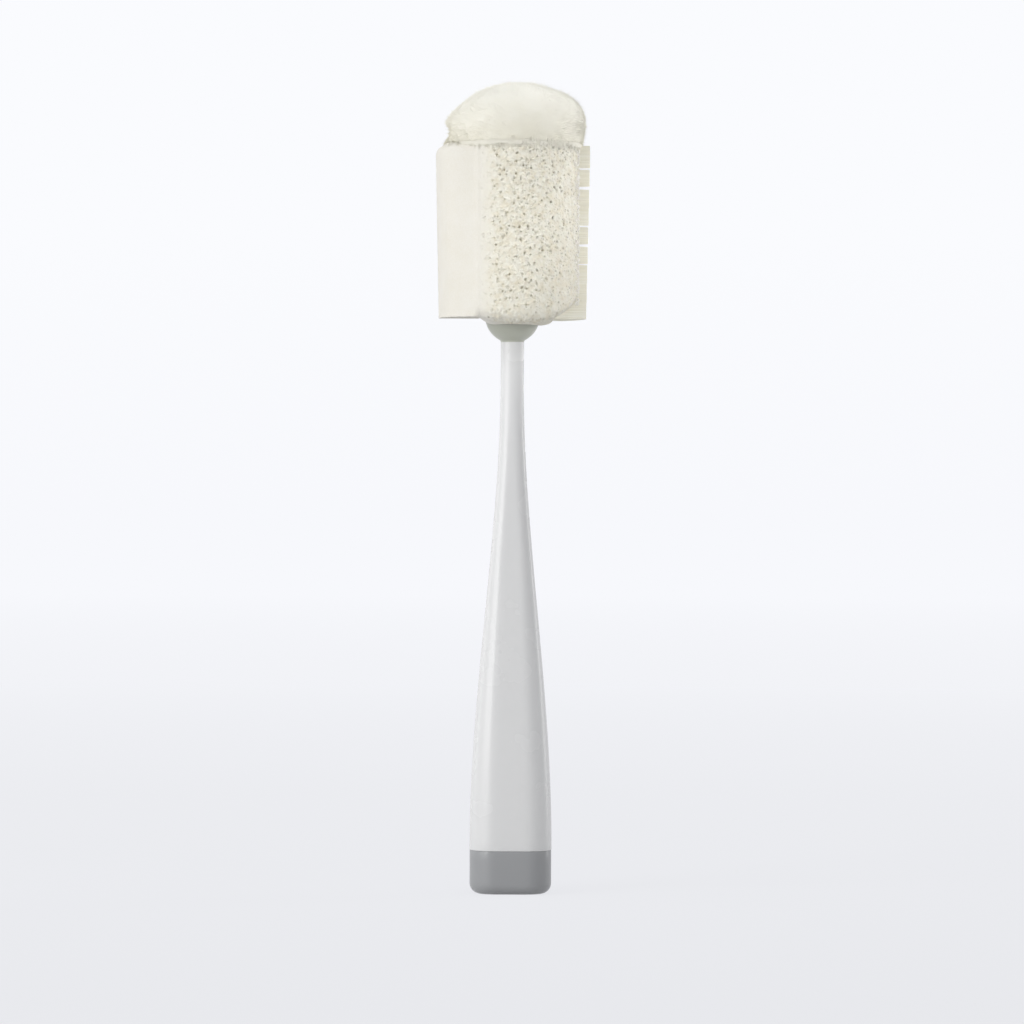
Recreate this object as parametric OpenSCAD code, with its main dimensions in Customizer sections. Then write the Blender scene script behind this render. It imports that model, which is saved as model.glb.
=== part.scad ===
// Bottle brush: a moulded handle with an end cap, and a tufted head with two bristle wings,
// two sponge segments and a crown of soft fibre. Millimetres, +Z up.
// The origin is the middle of the end cap's flat bottom. The handle's front face looks along -Y.

/* [Handle] */
// Length of the handle, from the seam above the end cap to the top of the neck
handle_l = 187.7; // [170:0.1:230]
// Diameter of the round neck
neck_d = 8.6; // [8:0.1:12]
// Length of the straight stretch at the top of the neck
neck_straight = 13.8; // [8:0.1:30]
// How far the outline keeps to the neck before it swells
neck_pull = 58; // [35:1:75]
// Width of the grip at the seam
grip_w = 30.4; // [28:0.1:34]
// How far the outline keeps to the grip before it narrows
grip_pull = 60; // [35:1:75]
// Radius of the grip's upright corners
grip_corner_r = 9.7; // [7:0.1:12]
// Height of the fade from the round neck to the square grip
square_fade = 70; // [50:1:100]
// Thickness of the moulded wall
wall = 2.2; // [1.6:0.1:3]
// Length of solid plastic under the end of the core's spigot
neck_solid = 22; // [15:1:35]

/* [End cap] */
// Height of the end cap's visible band
cap_h = 16.1; // [12:0.1:24]
// How far the end cap stands back from the handle's face at the seam
cap_step = 0.12; // [0:0.01:0.3]
// Radius of the rounded edge around the cap's flat bottom
cap_edge_r = 3.9; // [2:0.1:5]
// Thickness of the cap's floor
cap_floor = 2.5; // [2:0.1:4]
// Width of the small chamfer on each side of the seam
seam_chamfer = 0.25; // [0.1:0.05:0.5]
// Depth of the cap's plug inside the grip
plug_depth = 9; // [6:0.5:16]
// Thickness of the plug's wall
plug_wall = 1.8; // [1.2:0.1:2.5]
// Clearance between the plug and the inside of the grip
plug_clearance = 0.1; // [0.05:0.01:0.25]

/* [Head core] */
// Radius of the ball-shaped cup under the bristles
cup_r = 10.2; // [9:0.1:13]
// Radius of the fillet between the cup and the neck
cup_fillet_r = 1; // [0.5:0.1:2]
// How far the cup's flat top lies below the ball's middle
cup_cut = 1.2; // [0.5:0.1:3]
// Diameter of the spine that carries the tufts
spine_d = 14; // [13:0.1:16]
// Diameter of the spigot in the neck
spigot_d = 5; // [4:0.1:5.6]
// Length of the spigot
spigot_l = 24; // [16:0.5:34]
// Radial clearance of the spigot in its socket
spigot_clearance = 0.05; // [0.02:0.01:0.15]
// Depth of the socket below the end of the spigot
socket_relief = 1; // [0.5:0.1:3]
// Chamfer on the end of the spigot
spigot_chamfer = 0.6; // [0.3:0.1:1]
// Turn of the whole head about the handle, in degrees
head_turn = 24; // [0:1:45]

/* [Tufts] */
// Diameter of each tuft hole
hole_d = 2.4; // [2:0.1:2.6]
// Depth of the wings' tuft holes in the spine
hole_depth = 3.6; // [2.8:0.1:5]
// Depth of the crown's tuft holes in the spine's rounded tip
tip_hole_depth = 2.4; // [2:0.1:2.6]
// Clearance between a tuft's root and its hole
root_clearance = 0.03; // [0.01:0.01:0.08]
// Height of the anchor plate at the bottom of each hole
anchor_h = 1; // [0.6:0.1:1.2]
// Thickness of the anchor plate
anchor_t = 0.3; // [0.2:0.05:0.4]
// Depth of the grooves between the strands on a tuft's sides
groove = 0.3; // [0:0.05:0.5]

/* [Bristle wings] */
// Number of rows of tufts in a wing
rows = 9; // [5:1:10]
// Distance from row to row
row_pitch = 7.1; // [6:0.1:8]
// Height of the lowest row's holes above the cup's flat top
first_row = 2.4; // [2:0.1:5]
// How far the lowest row is trimmed below its holes
trim_below = 2.3; // [1.5:0.1:3.5]
// How far the highest row reaches above its holes
trim_above = 5; // [3:0.1:6.5]
// Distance from the axis to the tips of the lowest row
wing_r = 27.6; // [25:0.1:34]
// How much further the tips of the highest row reach
wing_flare = 1.4; // [0:0.1:3]
// Width of a wing around the axis, in degrees
wing_arc = 48; // [44:1:60]
// Distance from the axis at which a wing's tufts have spread to their full width
fan_r = 16; // [12:0.5:20]
// Distance from the axis to the tips at the left wing's front edge, which is brushed down
brushed_r = 25; // [24.5:0.1:28]
// Distance between the two columns of holes in a wing
column_pitch = 3; // [2.8:0.1:3.6]
// Gap between two rows at the tips
row_gap = 0.35; // [0.1:0.05:0.8]
// Gap between the two columns at the tips
column_gap = 0.2; // [0.1:0.05:0.8]

/* [Sponges] */
// Distance from the axis to the sponges' outer face
sponge_r = 24.5; // [20:0.1:27]
// Gap between a sponge and the wings
sponge_gap = 0.4; // [0.2:0.05:1]
// How far the front sponge hangs below the cup's flat top
sponge_hang = 2.4; // [1:0.1:5]
// How far the rear sponge's underside rises above the cup's flat top
rear_rise = 1.4; // [0.5:0.1:4]
// How much higher a sponge's lower edge lies at its left side than in its middle
left_lift = 2.5; // [0:0.1:6]
// How much higher a sponge's lower edge lies at its right side than in its middle
right_lift = 12; // [0:0.5:14]
// Height over which those differences fade out
lift_fade = 30; // [20:1:40]
// Radius of the sponges' upright outer edges
sponge_corner_r = 2; // [1:0.1:6]
// Radius of the sponges' lower outer edge
sponge_foot_r = 5; // [2:0.1:7]
// Radius of the sponges' upper outer edge
sponge_brow_r = 1.5; // [0.5:0.1:3]
// Clearance between the sponges and the core
sponge_fit = 0.1; // [0.05:0.01:0.4]
// Distance between the large pores in the sponges' outer face
pore_pitch = 4; // [3.6:0.1:6]
// Depth of the deepest pores
pore_depth = 2; // [0.5:0.1:3]

/* [Crown] */
// Height of the crown above the wings
crown_h = 23; // [18:0.1:30]
// Distance from the axis to the crown's widest place
crown_r = 26.4; // [24:0.1:28]
// Squareness of the crown's outline: 2 is an ellipse
crown_squareness = 2.5; // [2.2:0.1:3]
// How much squarer the crown is on the right, and rounder on the left
crown_fullness = 0.4; // [0:0.05:0.6]
// How far the crown's rim is drawn in over the sponges
crown_tuck = 1.2; // [0:0.1:1.8]
// How far the top of the crown leans to the right
crown_lean = 1.4; // [0:0.1:3]
// Gap between the crown and what lies below it
crown_gap = 0.3; // [0.1:0.05:0.8]
// Gap between neighbouring tufts of the crown
crown_tuft_gap = 0.2; // [0.1:0.05:0.8]
// Number of tufts in the outer ring
outer_count = 10; // [7:1:10]
// Number of tufts in the inner ring
inner_count = 5; // [4:1:6]
// Height angle of the outer ring's holes on the rounded tip
outer_angle = 17; // [15:1:22]
// Height angle of the inner ring's holes on the rounded tip
inner_angle = 54; // [48:1:60]

/* [Hidden] */
eps = 0.01;             // overlap of two solids that are joined
over = 1;               // how far a cutter runs past a face
round_fn = 64;          // facets of the core's round parts
hole_fn = 24;           // facets of a tuft hole
arc_steps = 8;          // facets on each upright corner of the grip
handle_steps = 24;      // rings up the outside of the handle
cavity_steps = 10;      // rings up the inside of the handle
edge_steps = 5;         // rings on the cap's rounded bottom edge
corner_steps = 3;       // facets on each upright corner of a sponge
bore_steps = 6;         // facets of a sponge's inner face
tip_sides = 20;         // facets round the tuft at the crown's top

SIDES = ["right", "left"];
COLUMNS = ["a", "b"];

seam_z = cap_h;
neck_z = seam_z + handle_l;
curve_top_z = neck_z - neck_straight;
neck_r = neck_d / 2;
grip_half = grip_w / 2;
cap_half = grip_half - cap_step;
cap_corner_r = grip_corner_r - cap_step;
corner_share = grip_corner_r / grip_half;
socket_r = spigot_d / 2 + spigot_clearance;
socket_bottom_z = neck_z - spigot_l - socket_relief;
cavity_top_z = socket_bottom_z - neck_solid;

cup_z = neck_z + sqrt(pow(cup_r + cup_fillet_r, 2) - pow(neck_r + cup_fillet_r, 2));
cup_top_z = cup_z - cup_cut;
spine_r = spine_d / 2;
root_r = hole_d / 2 - root_clearance;

first_row_z = cup_top_z + first_row;
last_row_z = first_row_z + (rows - 1) * row_pitch;
wing_bottom_z = first_row_z - trim_below;
wing_top_z = last_row_z + trim_above;
sponge_top_z = wing_top_z;

sponge_half = 90 - wing_arc / 2;
seat_step = 0.2;        // rise of a sponge's seat from the cup's edge to the spine
foot_cut = 0.03;        // rise of a sponge's underside to its foot, as a share of the foot radius
brim = 1.5;             // width of the flat ring of sponge that lies against the cup
lift_power = 1.8;       // how late a sponge's lower edge rises on the way to its sides
brushed_from = 5;       // angle from a wing's middle at which its brushed edge begins
pore_columns = round((2 * PI * sponge_r * sponge_half / 180 - 2 * sponge_corner_r)
    / (pore_pitch / 2));
pore_rise = 0.65;       // distance between rows of pores, as a share of their pitch
pore_every = 3;         // one point in this many is a pore
pore_least = 0.45;      // depth of the shallowest pores, as a share of the deepest
pore_wander = 0.25;     // how far a pore strays to either side, as a share of its column

crown_z = wing_top_z + crown_gap;
// The rounded tip starts where the outer ring's holes just clear the crown's flat underside
hole_rise = 0.1;
tip_z = crown_z + hole_d / 2 - spine_r * sin(outer_angle) + hole_rise;
// Crown angles where the rings meet: 0 is the crown's rim and 90 its top
ring_split = 37;
tip_split = 68;
top_flat_r = 1.6;       // radius of the small flat at the very top
top_rise = acos(pow(top_flat_r / crown_r, (crown_squareness + crown_fullness) / 2));
crown_gap_rise = crown_tuft_gap / crown_h * 90 / PI;

wing_nodes = [for (side = SIDES, row = [1:rows], column = COLUMNS)
    str("wing_", side, "_", row, column)];
outer_nodes = [for (i = [1:outer_count]) str("crown_outer_", i)];
inner_nodes = [for (i = [1:inner_count]) str("crown_inner_", i)];

// ---------- curves ----------

function bezier(a, b, c, d, t) =
    pow(1 - t, 3) * a + 3 * pow(1 - t, 2) * t * b + 3 * (1 - t) * t * t * c + pow(t, 3) * d;

function ease(t) = let (s = max(0, min(1, t))) s * s * (3 - 2 * s);

// The handle's outline: height and half width at t, from the seam (0) to the neck (1)
function outline_z(t) =
    bezier(seam_z, seam_z + grip_pull, curve_top_z - neck_pull, curve_top_z, t);
function outline_half(t) = bezier(grip_half, grip_half, neck_r, neck_r, t);

// Corner radius as a share of the half width: 1 is round
function corner_at(z) =
    1 - (1 - corner_share) * ease((curve_top_z - z) / square_fade);

// A square with rounded corners, seen from above, as one ring of points at height z
function ring(half, corner, z) = [
    for (q = [0:3], i = [0:arc_steps])
        let (turn = 90 * q, a = turn + 90 * i / arc_steps,
             c = (half - corner) * sqrt(2))
            [c * cos(turn + 45) + corner * cos(a), c * sin(turn + 45) + corner * sin(a), z]
];

function handle_ring(t, inset = 0) =
    let (z = outline_z(t), half = outline_half(t), corner = half * corner_at(z))
        ring(half - inset, corner - inset, z);

// The t at which the outline reaches height z, by halving
function outline_t(z, low = 0, high = 1, tries = 20) =
    let (middle = (low + high) / 2)
        tries == 0 ? middle
        : outline_z(middle) < z ? outline_t(z, middle, high, tries - 1)
        : outline_t(z, low, middle, tries - 1);

// ---------- solids from rings ----------

// A closed solid through rings of points that run counter-clockwise seen from above.
// The first ring is closed by a face that looks down, and the last by one that looks up.
module loft(rings) {
    n = len(rings[0]);
    m = len(rings);
    polyhedron(
        points = [for (r = rings, p = r) p],
        faces = concat(
            [[for (i = [0:n - 1]) i]],
            [for (j = [0:m - 2], i = [0:n - 1], half = [0, 1])
                let (k = (i + 1) % n, low = j * n, high = low + n)
                    half == 0 ? [low + i, high + i, high + k] : [low + i, high + k, low + k]],
            [[for (i = [n - 1:-1:0]) (m - 1) * n + i]]));
}

// ---------- handle and end cap ----------

module handle() {
    top_t = outline_t(cavity_top_z);
    chamfered = ring(grip_half - seam_chamfer, grip_corner_r - seam_chamfer, seam_z);
    outside = concat(
        [chamfered, handle_ring(outline_t(seam_z + seam_chamfer))],
        [for (i = [1:handle_steps]) handle_ring(i / handle_steps)],
        [ring(neck_r, neck_r, neck_z)]);
    inside = [for (i = [cavity_steps:-1:0]) handle_ring(top_t * i / cavity_steps, wall)];
    color([0.84, 0.84, 0.83])
    difference() {
        loft(concat(inside, outside));
        translate([0, 0, socket_bottom_z])
            cylinder(r = socket_r, h = neck_z - socket_bottom_z + over, $fn = round_fn);
    }
}

module end_cap() {
    plug_top_z = seam_z + plug_depth;
    plug_half = outline_half(outline_t(plug_top_z)) - wall - plug_clearance;
    plug_corner = grip_corner_r * plug_half / grip_half;
    bottom_edge = [for (i = [0:edge_steps])
        let (a = 90 * i / edge_steps, inset = cap_edge_r * (1 - sin(a)))
            ring(cap_half - inset, cap_corner_r - inset, cap_edge_r * (1 - cos(a)))];
    lip = [
        ring(cap_half, cap_corner_r, seam_z - seam_chamfer),
        ring(cap_half - seam_chamfer, cap_corner_r - seam_chamfer, seam_z)];
    plug = [
        ring(plug_half, plug_corner, seam_z),
        ring(plug_half, plug_corner, plug_top_z - seam_chamfer),
        ring(plug_half - seam_chamfer, plug_corner - seam_chamfer, plug_top_z),
        ring(plug_half - plug_wall, plug_corner - plug_wall, plug_top_z),
        ring(plug_half - plug_wall, plug_corner - plug_wall, cap_floor)];
    color([0.58, 0.59, 0.60]) loft(concat(bottom_edge, lip, plug));
}

// ---------- head core ----------

// Puts its children at every tuft, at the spine's surface: +X runs out, and $depth is the hole's depth
module at_each_tuft() {
    for (side = [0, 1], row = [0:rows - 1], column = [-1, 1])
        rotate([0, 0, 180 * side])
            translate([spine_r, column * column_pitch / 2, first_row_z + row * row_pitch]) {
                $depth = hole_depth;
                children();
            }
    for (place = concat(
            [for (i = [0:outer_count - 1]) [outer_angle, 360 * i / outer_count]],
            [for (i = [0:inner_count - 1]) [inner_angle, 360 * i / inner_count]],
            [[90, 0]]))
        translate([0, 0, tip_z]) rotate([0, -place[0], place[1]]) translate([spine_r, 0, 0]) {
            $depth = tip_hole_depth;
            children();
        }
}

module drill() {
    translate([-$depth, 0, 0]) rotate([0, 90, 0])
        cylinder(d = hole_d, h = $depth + over, $fn = hole_fn);
}

module cup_profile() {
    fillet_x = neck_r + cup_fillet_r;
    intersection() {
        translate([0, cup_z]) circle(r = cup_r, $fn = round_fn);
        translate([0, neck_z]) square([cup_r + over, cup_top_z - neck_z]);
    }
    difference() {
        translate([0, neck_z]) square([fillet_x * cup_r / (cup_r + cup_fillet_r),
            (cup_z - neck_z) * cup_fillet_r / (cup_r + cup_fillet_r)]);
        translate([fillet_x, neck_z]) circle(r = cup_fillet_r, $fn = round_fn);
    }
}

module head_core() {
    color([0.63, 0.64, 0.59])
    rotate([0, 0, head_turn])
    difference() {
        union() {
            rotate_extrude($fn = round_fn) cup_profile();
            translate([0, 0, cup_top_z - over])
                cylinder(r = spine_r, h = tip_z - cup_top_z + over, $fn = round_fn);
            translate([0, 0, tip_z]) sphere(r = spine_r, $fn = round_fn);
            translate([0, 0, neck_z - spigot_l + spigot_chamfer])
                cylinder(d = spigot_d, h = spigot_l, $fn = round_fn);
            translate([0, 0, neck_z - spigot_l])
                cylinder(d1 = spigot_d - 2 * spigot_chamfer, d2 = spigot_d,
                    h = spigot_chamfer + eps, $fn = round_fn);
        }
        at_each_tuft() drill();
    }
}

module tuft_anchors() {
    color([0.78, 0.68, 0.42])
    rotate([0, 0, head_turn])
    at_each_tuft()
        translate([-$depth, -root_r + anchor_t / 2, -anchor_t / 2])
            cube([anchor_h, 2 * root_r - anchor_t, anchor_t]);
}

// ---------- tufts ----------

// The outline of a grid of points, once around, as pairs of indices
function rim(nu, nv) = concat(
    [for (i = [0:nu - 1]) [i, 0]], [for (j = [0:nv - 1]) [nu, j]],
    [for (i = [nu:-1:1]) [i, nv]], [for (j = [nv:-1:1]) [0, j]]);

// A bundle of strands: a round root in its hole, spread to a grid of tip points.
// The hole's mouth is at `mouth`, and `out`, `across` and `up` are the root's three directions.
// A `shoulder` is a grid on the way, where the bundle has its full width; [] is none.
module tuft(mouth, out, across, up, depth, tips, shoulder) {
    nu = len(tips) - 1;
    nv = len(tips[0]) - 1;
    edge = rim(nu, nv);
    n = len(edge);
    top = [for (e = edge)
        let (a = atan2(2 * e[1] / nv - 1, 2 * e[0] / nu - 1))
            mouth + root_r * (cos(a) * across + sin(a) * up)];
    root = [for (p = top) p - (depth - anchor_h) * out];
    rings = concat([root, top],
        len(shoulder) == 0 ? [] : [[for (e = edge) shoulder[e[0]][e[1]]]]);
    m = len(rings);
    function tip_index(e) = m * n + e[0] * (nv + 1) + e[1];
    polyhedron(
        points = concat([for (r = rings, p = r) p], [for (row = tips, p = row) p]),
        faces = concat(
            [[for (k = [0:n - 1]) k]],
            [for (j = [0:m - 2], k = [0:n - 1], half = [0, 1])
                let (a = j * n + k, b = j * n + (k + 1) % n)
                    half == 0 ? [a, n + a, n + b] : [a, n + b, b]],
            [for (k = [0:n - 1], half = [0, 1])
                let (last = (m - 1) * n, b = (k + 1) % n)
                    half == 0 ? [last + k, tip_index(edge[k]), tip_index(edge[b])]
                    : [last + k, tip_index(edge[b]), last + b]],
            [for (i = [0:nu - 1], j = [0:nv - 1], half = [0, 1])
                let (a = tip_index([i, j]), b = tip_index([i + 1, j]),
                     c = tip_index([i + 1, j + 1]), d = tip_index([i, j + 1]))
                    half == 0 ? [a, d, c] : [a, c, b]]));
}

// Share of the way across a grid, with every other strand on the two long sides set back
function grooved(i, j, nu, share) =
    (j % 2 == 0) ? i / nu : i == 0 ? share : i == nu ? 1 - share : i / nu;

// A number from 0 to 1 that leaves 0 and reaches 1 gently as t does
function gently(t) = let (k = max(0, min(1, t))) k * k * (3 - 2 * k);

module wing_tuft(side, row, column) {
    nu = 3;
    nv = 4;
    z = first_row_z + row * row_pitch;
    r = wing_r + wing_flare * row / max(1, rows - 1);
    half_gap = row_gap / 2;
    low_z = row == 0 ? wing_bottom_z : z - row_pitch / 2 + half_gap;
    high_z = row == rows - 1 ? wing_top_z : z + row_pitch / 2 - half_gap;
    edge_angle = wing_arc / 2;
    split_angle = asin(column_gap / 2 / r);
    from_angle = column < 0 ? -edge_angle : split_angle;
    to_angle = column < 0 ? -split_angle : edge_angle;
    share = groove / (r * (to_angle - from_angle) * PI / 180);
    brush = side == 1 && column > 0 ? max(0, r - brushed_r) : 0;
    function grid(reach, brush) = [for (i = [0:nu]) [for (j = [0:nv])
        let (u = grooved(i, j, nu, share), a = from_angle + (to_angle - from_angle) * u,
             d = reach - brush * gently((a - brushed_from) / (edge_angle - brushed_from)))
            [d * cos(a), d * sin(a), low_z + (high_z - low_z) * j / nv]]];
    color([0.90, 0.87, 0.78])
    rotate([0, 0, head_turn + 180 * side])
        tuft([spine_r, column * column_pitch / 2, z], [1, 0, 0], [0, 1, 0], [0, 0, 1],
            hole_depth, grid(r, brush), grid(fan_r, 0));
}

// A point on the crown: `around` is the angle about the axis, `rise` the crown angle
function crown_point(around, rise) =
    let (n = crown_squareness + crown_fullness * cos(around + head_turn),
         tuck = crown_tuck * pow(sin(around), 2) * pow(cos(rise), 4),
         h = pow(sin(rise), 2 / n), r = (crown_r - tuck) * pow(cos(rise), 2 / n),
         lean = crown_lean * h)
        [r * cos(around) + lean * cos(head_turn), r * sin(around) - lean * sin(head_turn),
         crown_z + crown_h * h];

module crown_tuft(angle, height_angle, arc, low_rise, high_rise) {
    nu = 4;
    nv = 6;
    mean_r = crown_r * cos((low_rise + high_rise) / 2);
    side_gap = crown_tuft_gap / mean_r * 90 / PI;
    low = low_rise == 0 ? 0 : low_rise + crown_gap_rise;
    high = high_rise - crown_gap_rise;
    half_arc = arc / 2 - side_gap;
    share = groove / (2 * half_arc * mean_r * PI / 180);
    tips = [for (i = [0:nu]) [for (j = [0:nv])
        let (u = grooved(i, j, nu, share), around = angle - half_arc + 2 * half_arc * u)
            crown_point(around, low + (high - low) * j / nv)]];
    out = [cos(height_angle) * cos(angle), cos(height_angle) * sin(angle), sin(height_angle)];
    across = [-sin(angle), cos(angle), 0];
    up = cross(out, across);
    color([0.95, 0.95, 0.92])
    rotate([0, 0, head_turn])
        tuft([0, 0, tip_z] + spine_r * out, out, across, up, tip_hole_depth, tips, []);
}

module crown_tip() {
    angles = [for (i = [0:tip_sides - 1]) 360 * i / tip_sides];
    low = tip_split + crown_gap_rise;
    function circle_at(r, z) = [for (a = angles) [r * cos(a), r * sin(a), z]];
    color([0.95, 0.95, 0.92])
    rotate([0, 0, head_turn])
        loft(concat(
            [circle_at(root_r, tip_z + spine_r - tip_hole_depth + anchor_h),
             circle_at(root_r, tip_z + spine_r)],
            [for (rise = [low, (low + 90) / 2, top_rise])
                [for (a = angles) crown_point(a, rise)]]));
}

// ---------- sponges ----------

// Direction from the axis at an angle from -Y, and a point on a circle
function toward(a) = [sin(a), -cos(a)];
function on_circle(centre, r, a) = centre + r * [cos(a), sin(a)];

// A repeatable number from 0 to 1 for the pore at column i and row j
function chance(i, j, salt) =
    let (x = sin(137.5 * i + 311.7 * j + 74.3 * salt) * 43758.5) x - floor(x);

// One level of a sponge: an arc with rounded corners, set back at its pores, and an inner arc
// whose facets keep clear of radius `inner_r`. A level with `j` below 0 has no pores. `lift` is
// the share of the two lifts by which the arc rises towards its ends.
function sponge_level(z, r, inner_r, j, lift) =
    let (e = min(sponge_corner_r, r / 4), reach = r - e,
         corner = sponge_half - asin((e + sponge_gap) / reach),
         bore = inner_r / cos(90 / bore_steps),
         inner = sponge_half - asin(sponge_gap / bore),
         cell = 2 * corner / pore_columns,
         outside = concat(
            [for (k = [0:corner_steps]) let (t = k / corner_steps)
                on_circle(reach * toward(-corner), e,
                    (1 - t) * (-180 - sponge_half) + t * (-90 - corner))],
            [for (i = [1:pore_columns - 1])
                let (pore = j >= 0 && (i + j) % pore_every == 0,
                     share = pore_least + (1 - pore_least) * chance(i, j, 1),
                     dent = pore ? pore_depth * share : 0,
                     wander = j < 0 ? 0 : cell * pore_wander * (2 * chance(i, j, 2) - 1))
                    (r - dent) * toward(-corner + cell * i + wander)],
            [for (k = [0:corner_steps]) let (t = k / corner_steps)
                on_circle(reach * toward(corner), e,
                    (1 - t) * (-90 + corner) + t * sponge_half)]))
        concat(
            [for (p = outside) let (a = atan2(p[0], -p[1]), side_lift = a > 0 ? right_lift : left_lift)
                [p[0], p[1], z + side_lift * lift * pow(abs(a) / sponge_half, lift_power)]],
            [for (k = [bore_steps:-1:0])
                let (p = bore * toward(inner * (2 * k / bore_steps - 1))) [p[0], p[1], z]]);

// `hang` is how far the sponge reaches below the cup's flat top; below 0 it stays above it
module sponge(turn, hang) {
    foot = sponge_foot_r;
    brow = sponge_brow_r;
    low_z = cup_top_z - hang;
    bore_r = spine_r + sponge_fit;
    seat_z = cup_top_z + sponge_fit;
    foot_z = low_z + foot * foot_cut;
    function cup_at(z) = sqrt(pow(cup_r + sponge_fit, 2) - pow(cup_z - z, 2));
    function foot_r(z) = let (d = foot - min(foot, z - low_z))
        sponge_r - foot + sqrt(foot * foot - d * d);
    function lift(z) = max(0, 1 - (z - low_z) / lift_fade);
    function level(z, inner_r) = sponge_level(z, foot_r(z), inner_r, -1, lift(z));
    base = hang > 0
        ? [sponge_level(low_z, cup_at(low_z) + brim, cup_at(low_z), -1, 0),
           level(foot_z, cup_at(foot_z)), level(seat_z, cup_at(seat_z)),
           level(seat_z + seat_step, bore_r)]
        : [sponge_level(seat_z, cup_r, bore_r, -1, 0), level(foot_z, bore_r),
           level(low_z + foot / 3, bore_r)];
    body_z = max(low_z + foot, seat_z + 2 * seat_step);
    body_h = sponge_top_z - brow - body_z;
    pore_rows = round(body_h / (pore_rise * pore_pitch));
    color([0.91, 0.89, 0.82])
    rotate([0, 0, head_turn + turn])
        loft(concat(base,
            [for (j = [0:pore_rows]) let (z = body_z + body_h * j / pore_rows)
                sponge_level(z, sponge_r, bore_r, j, lift(z))],
            [sponge_level(sponge_top_z, sponge_r - brow, bore_r, -1, 0)]));
}

// ---------- assembly ----------

handle();
end_cap();
head_core();
tuft_anchors();
sponge(0, sponge_hang);  // sponge_front
sponge(180, -rear_rise);  // sponge_back
for (side = [0, 1], row = [0:rows - 1], column = [0, 1])
    wing_tuft(side, row, 2 * column - 1);
for (i = [1:outer_count])
    crown_tuft(360 * (i - 1) / outer_count, outer_angle, 360 / outer_count, 0, ring_split);
for (i = [1:inner_count])
    crown_tuft(360 * (i - 1) / inner_count, inner_angle, 360 / inner_count, ring_split, tip_split);
crown_tip();
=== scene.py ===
# %% [markdown]
# # A bottle brush
# The brush is a moulded grey handle with a darker cap pressed into its lower end. On top of it
# sits a ball-shaped cup, and on the cup the washing head: two wings of cut bristle, a sponge in
# front and one behind, and a round crown of soft white fibre. The solid model gives every size.
# It could be shown as it is, with better materials, but its facets would show on the glossy
# handle, and a tuft would stay a block. So it is loaded as a fixed frame, and the pieces below
# are finer skins of the same forms, made in the same place.

# %% Load the solid model as a fixed frame
import math, random
import bpy, bmesh
from mathutils import Matrix, Vector, noise


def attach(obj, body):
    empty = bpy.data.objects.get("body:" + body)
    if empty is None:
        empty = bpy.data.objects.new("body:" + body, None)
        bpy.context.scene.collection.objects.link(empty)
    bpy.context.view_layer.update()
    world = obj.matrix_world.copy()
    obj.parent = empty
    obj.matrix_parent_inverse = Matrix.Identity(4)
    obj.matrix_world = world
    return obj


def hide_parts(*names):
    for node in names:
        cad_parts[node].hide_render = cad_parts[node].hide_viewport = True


# Without a seed, noise_vector would start from the clock and differ from run to run.
noise.seed_set(1)
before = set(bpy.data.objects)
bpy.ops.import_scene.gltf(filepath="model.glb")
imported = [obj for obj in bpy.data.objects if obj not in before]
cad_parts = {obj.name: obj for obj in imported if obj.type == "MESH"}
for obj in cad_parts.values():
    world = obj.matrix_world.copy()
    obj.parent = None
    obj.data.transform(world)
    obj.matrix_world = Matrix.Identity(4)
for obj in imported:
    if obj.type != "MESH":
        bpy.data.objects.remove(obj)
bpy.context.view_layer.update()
MM = 0.001

# %% [markdown]
# ## The camera
# A long lens far away keeps the sides of the handle nearly parallel. A short lens close by would
# look down on the end cap and up under the head, and an orthographic camera would lose the
# little perspective that tells how deep the head is. The camera is level, a little below half
# the object's height, and turned by a fraction of a degree.

# %% Place the camera
def level_camera(distance, height, lens, roll):
    data = bpy.data.cameras.new("Camera")
    data.lens, data.sensor_width = lens, 36
    data.clip_end = 100
    camera = bpy.data.objects.new("Camera", data)
    camera.location = (0.0001, -distance, height)
    camera.rotation_euler = (math.radians(90), math.radians(roll), 0)
    bpy.context.collection.objects.link(camera)
    bpy.context.scene.camera = camera
    return camera

camera = level_camera(distance=1.7, height=0.1409, lens=161.2, roll=-0.22)
bpy.context.scene.view_settings.view_transform = "Standard"
print("camera", camera.location[:], "lens", camera.data.lens)

# %% [markdown]
# ## Light
# One large soft box on the left does most of the work. A narrow strip in front of it draws the
# long highlight on the handle's corner, a strip behind on the right lights the far rim, and a
# weak one behind on the left keeps the cup and the cap from going dark there. Soft fibre throws
# little light back, so two small lamps with narrow beams lift the crown and the head from the
# right. Many small lamps without a soft box could do it too, but each would leave its own spot
# on the gloss. The rest of the light comes from the room, so the shadows stay soft.

# %% Soft lamps
def soft_lamp(name, place, aim, size, power, spread=180):
    """`spread` is the width of the beam in degrees. 180 lights everything before the lamp."""
    data = bpy.data.lights.new(name, "AREA")
    data.spread = math.radians(spread)
    data.shape, data.size, data.size_y, data.energy = "RECTANGLE", size[0], size[1], power
    lamp = bpy.data.objects.new(name, data)
    lamp.location = place
    lamp.rotation_euler = (Vector(aim) - Vector(place)).to_track_quat("-Z", "Y").to_euler()
    bpy.context.collection.objects.link(lamp)
    return lamp

middle = (0, 0, 0.16)
soft_lamp("key_softbox", (-1.15, -0.83, 0.7), middle, (0.9, 1.3), 12.3)
soft_lamp("crease_strip", (-0.95, -1.15, 0.25), middle, (0.1, 1.1), 2.2)
soft_lamp("rim_strip", (1.0, 0.45, 0.25), middle, (0.25, 1.2), 3.0)
soft_lamp("left_strip", (-1.35, 0.55, 0.25), middle, (0.25, 1.2), 1.3)
soft_lamp("crown_fill", (0.352, -0.075, 0.577), (0, 0, 0.275), (0.1, 0.1), 0.015, spread=16)
soft_lamp("head_fill", (0.38, -0.453, 0.354), (0.015, 0, 0.238), (0.06, 0.04), 0.0068, spread=13)

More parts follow.
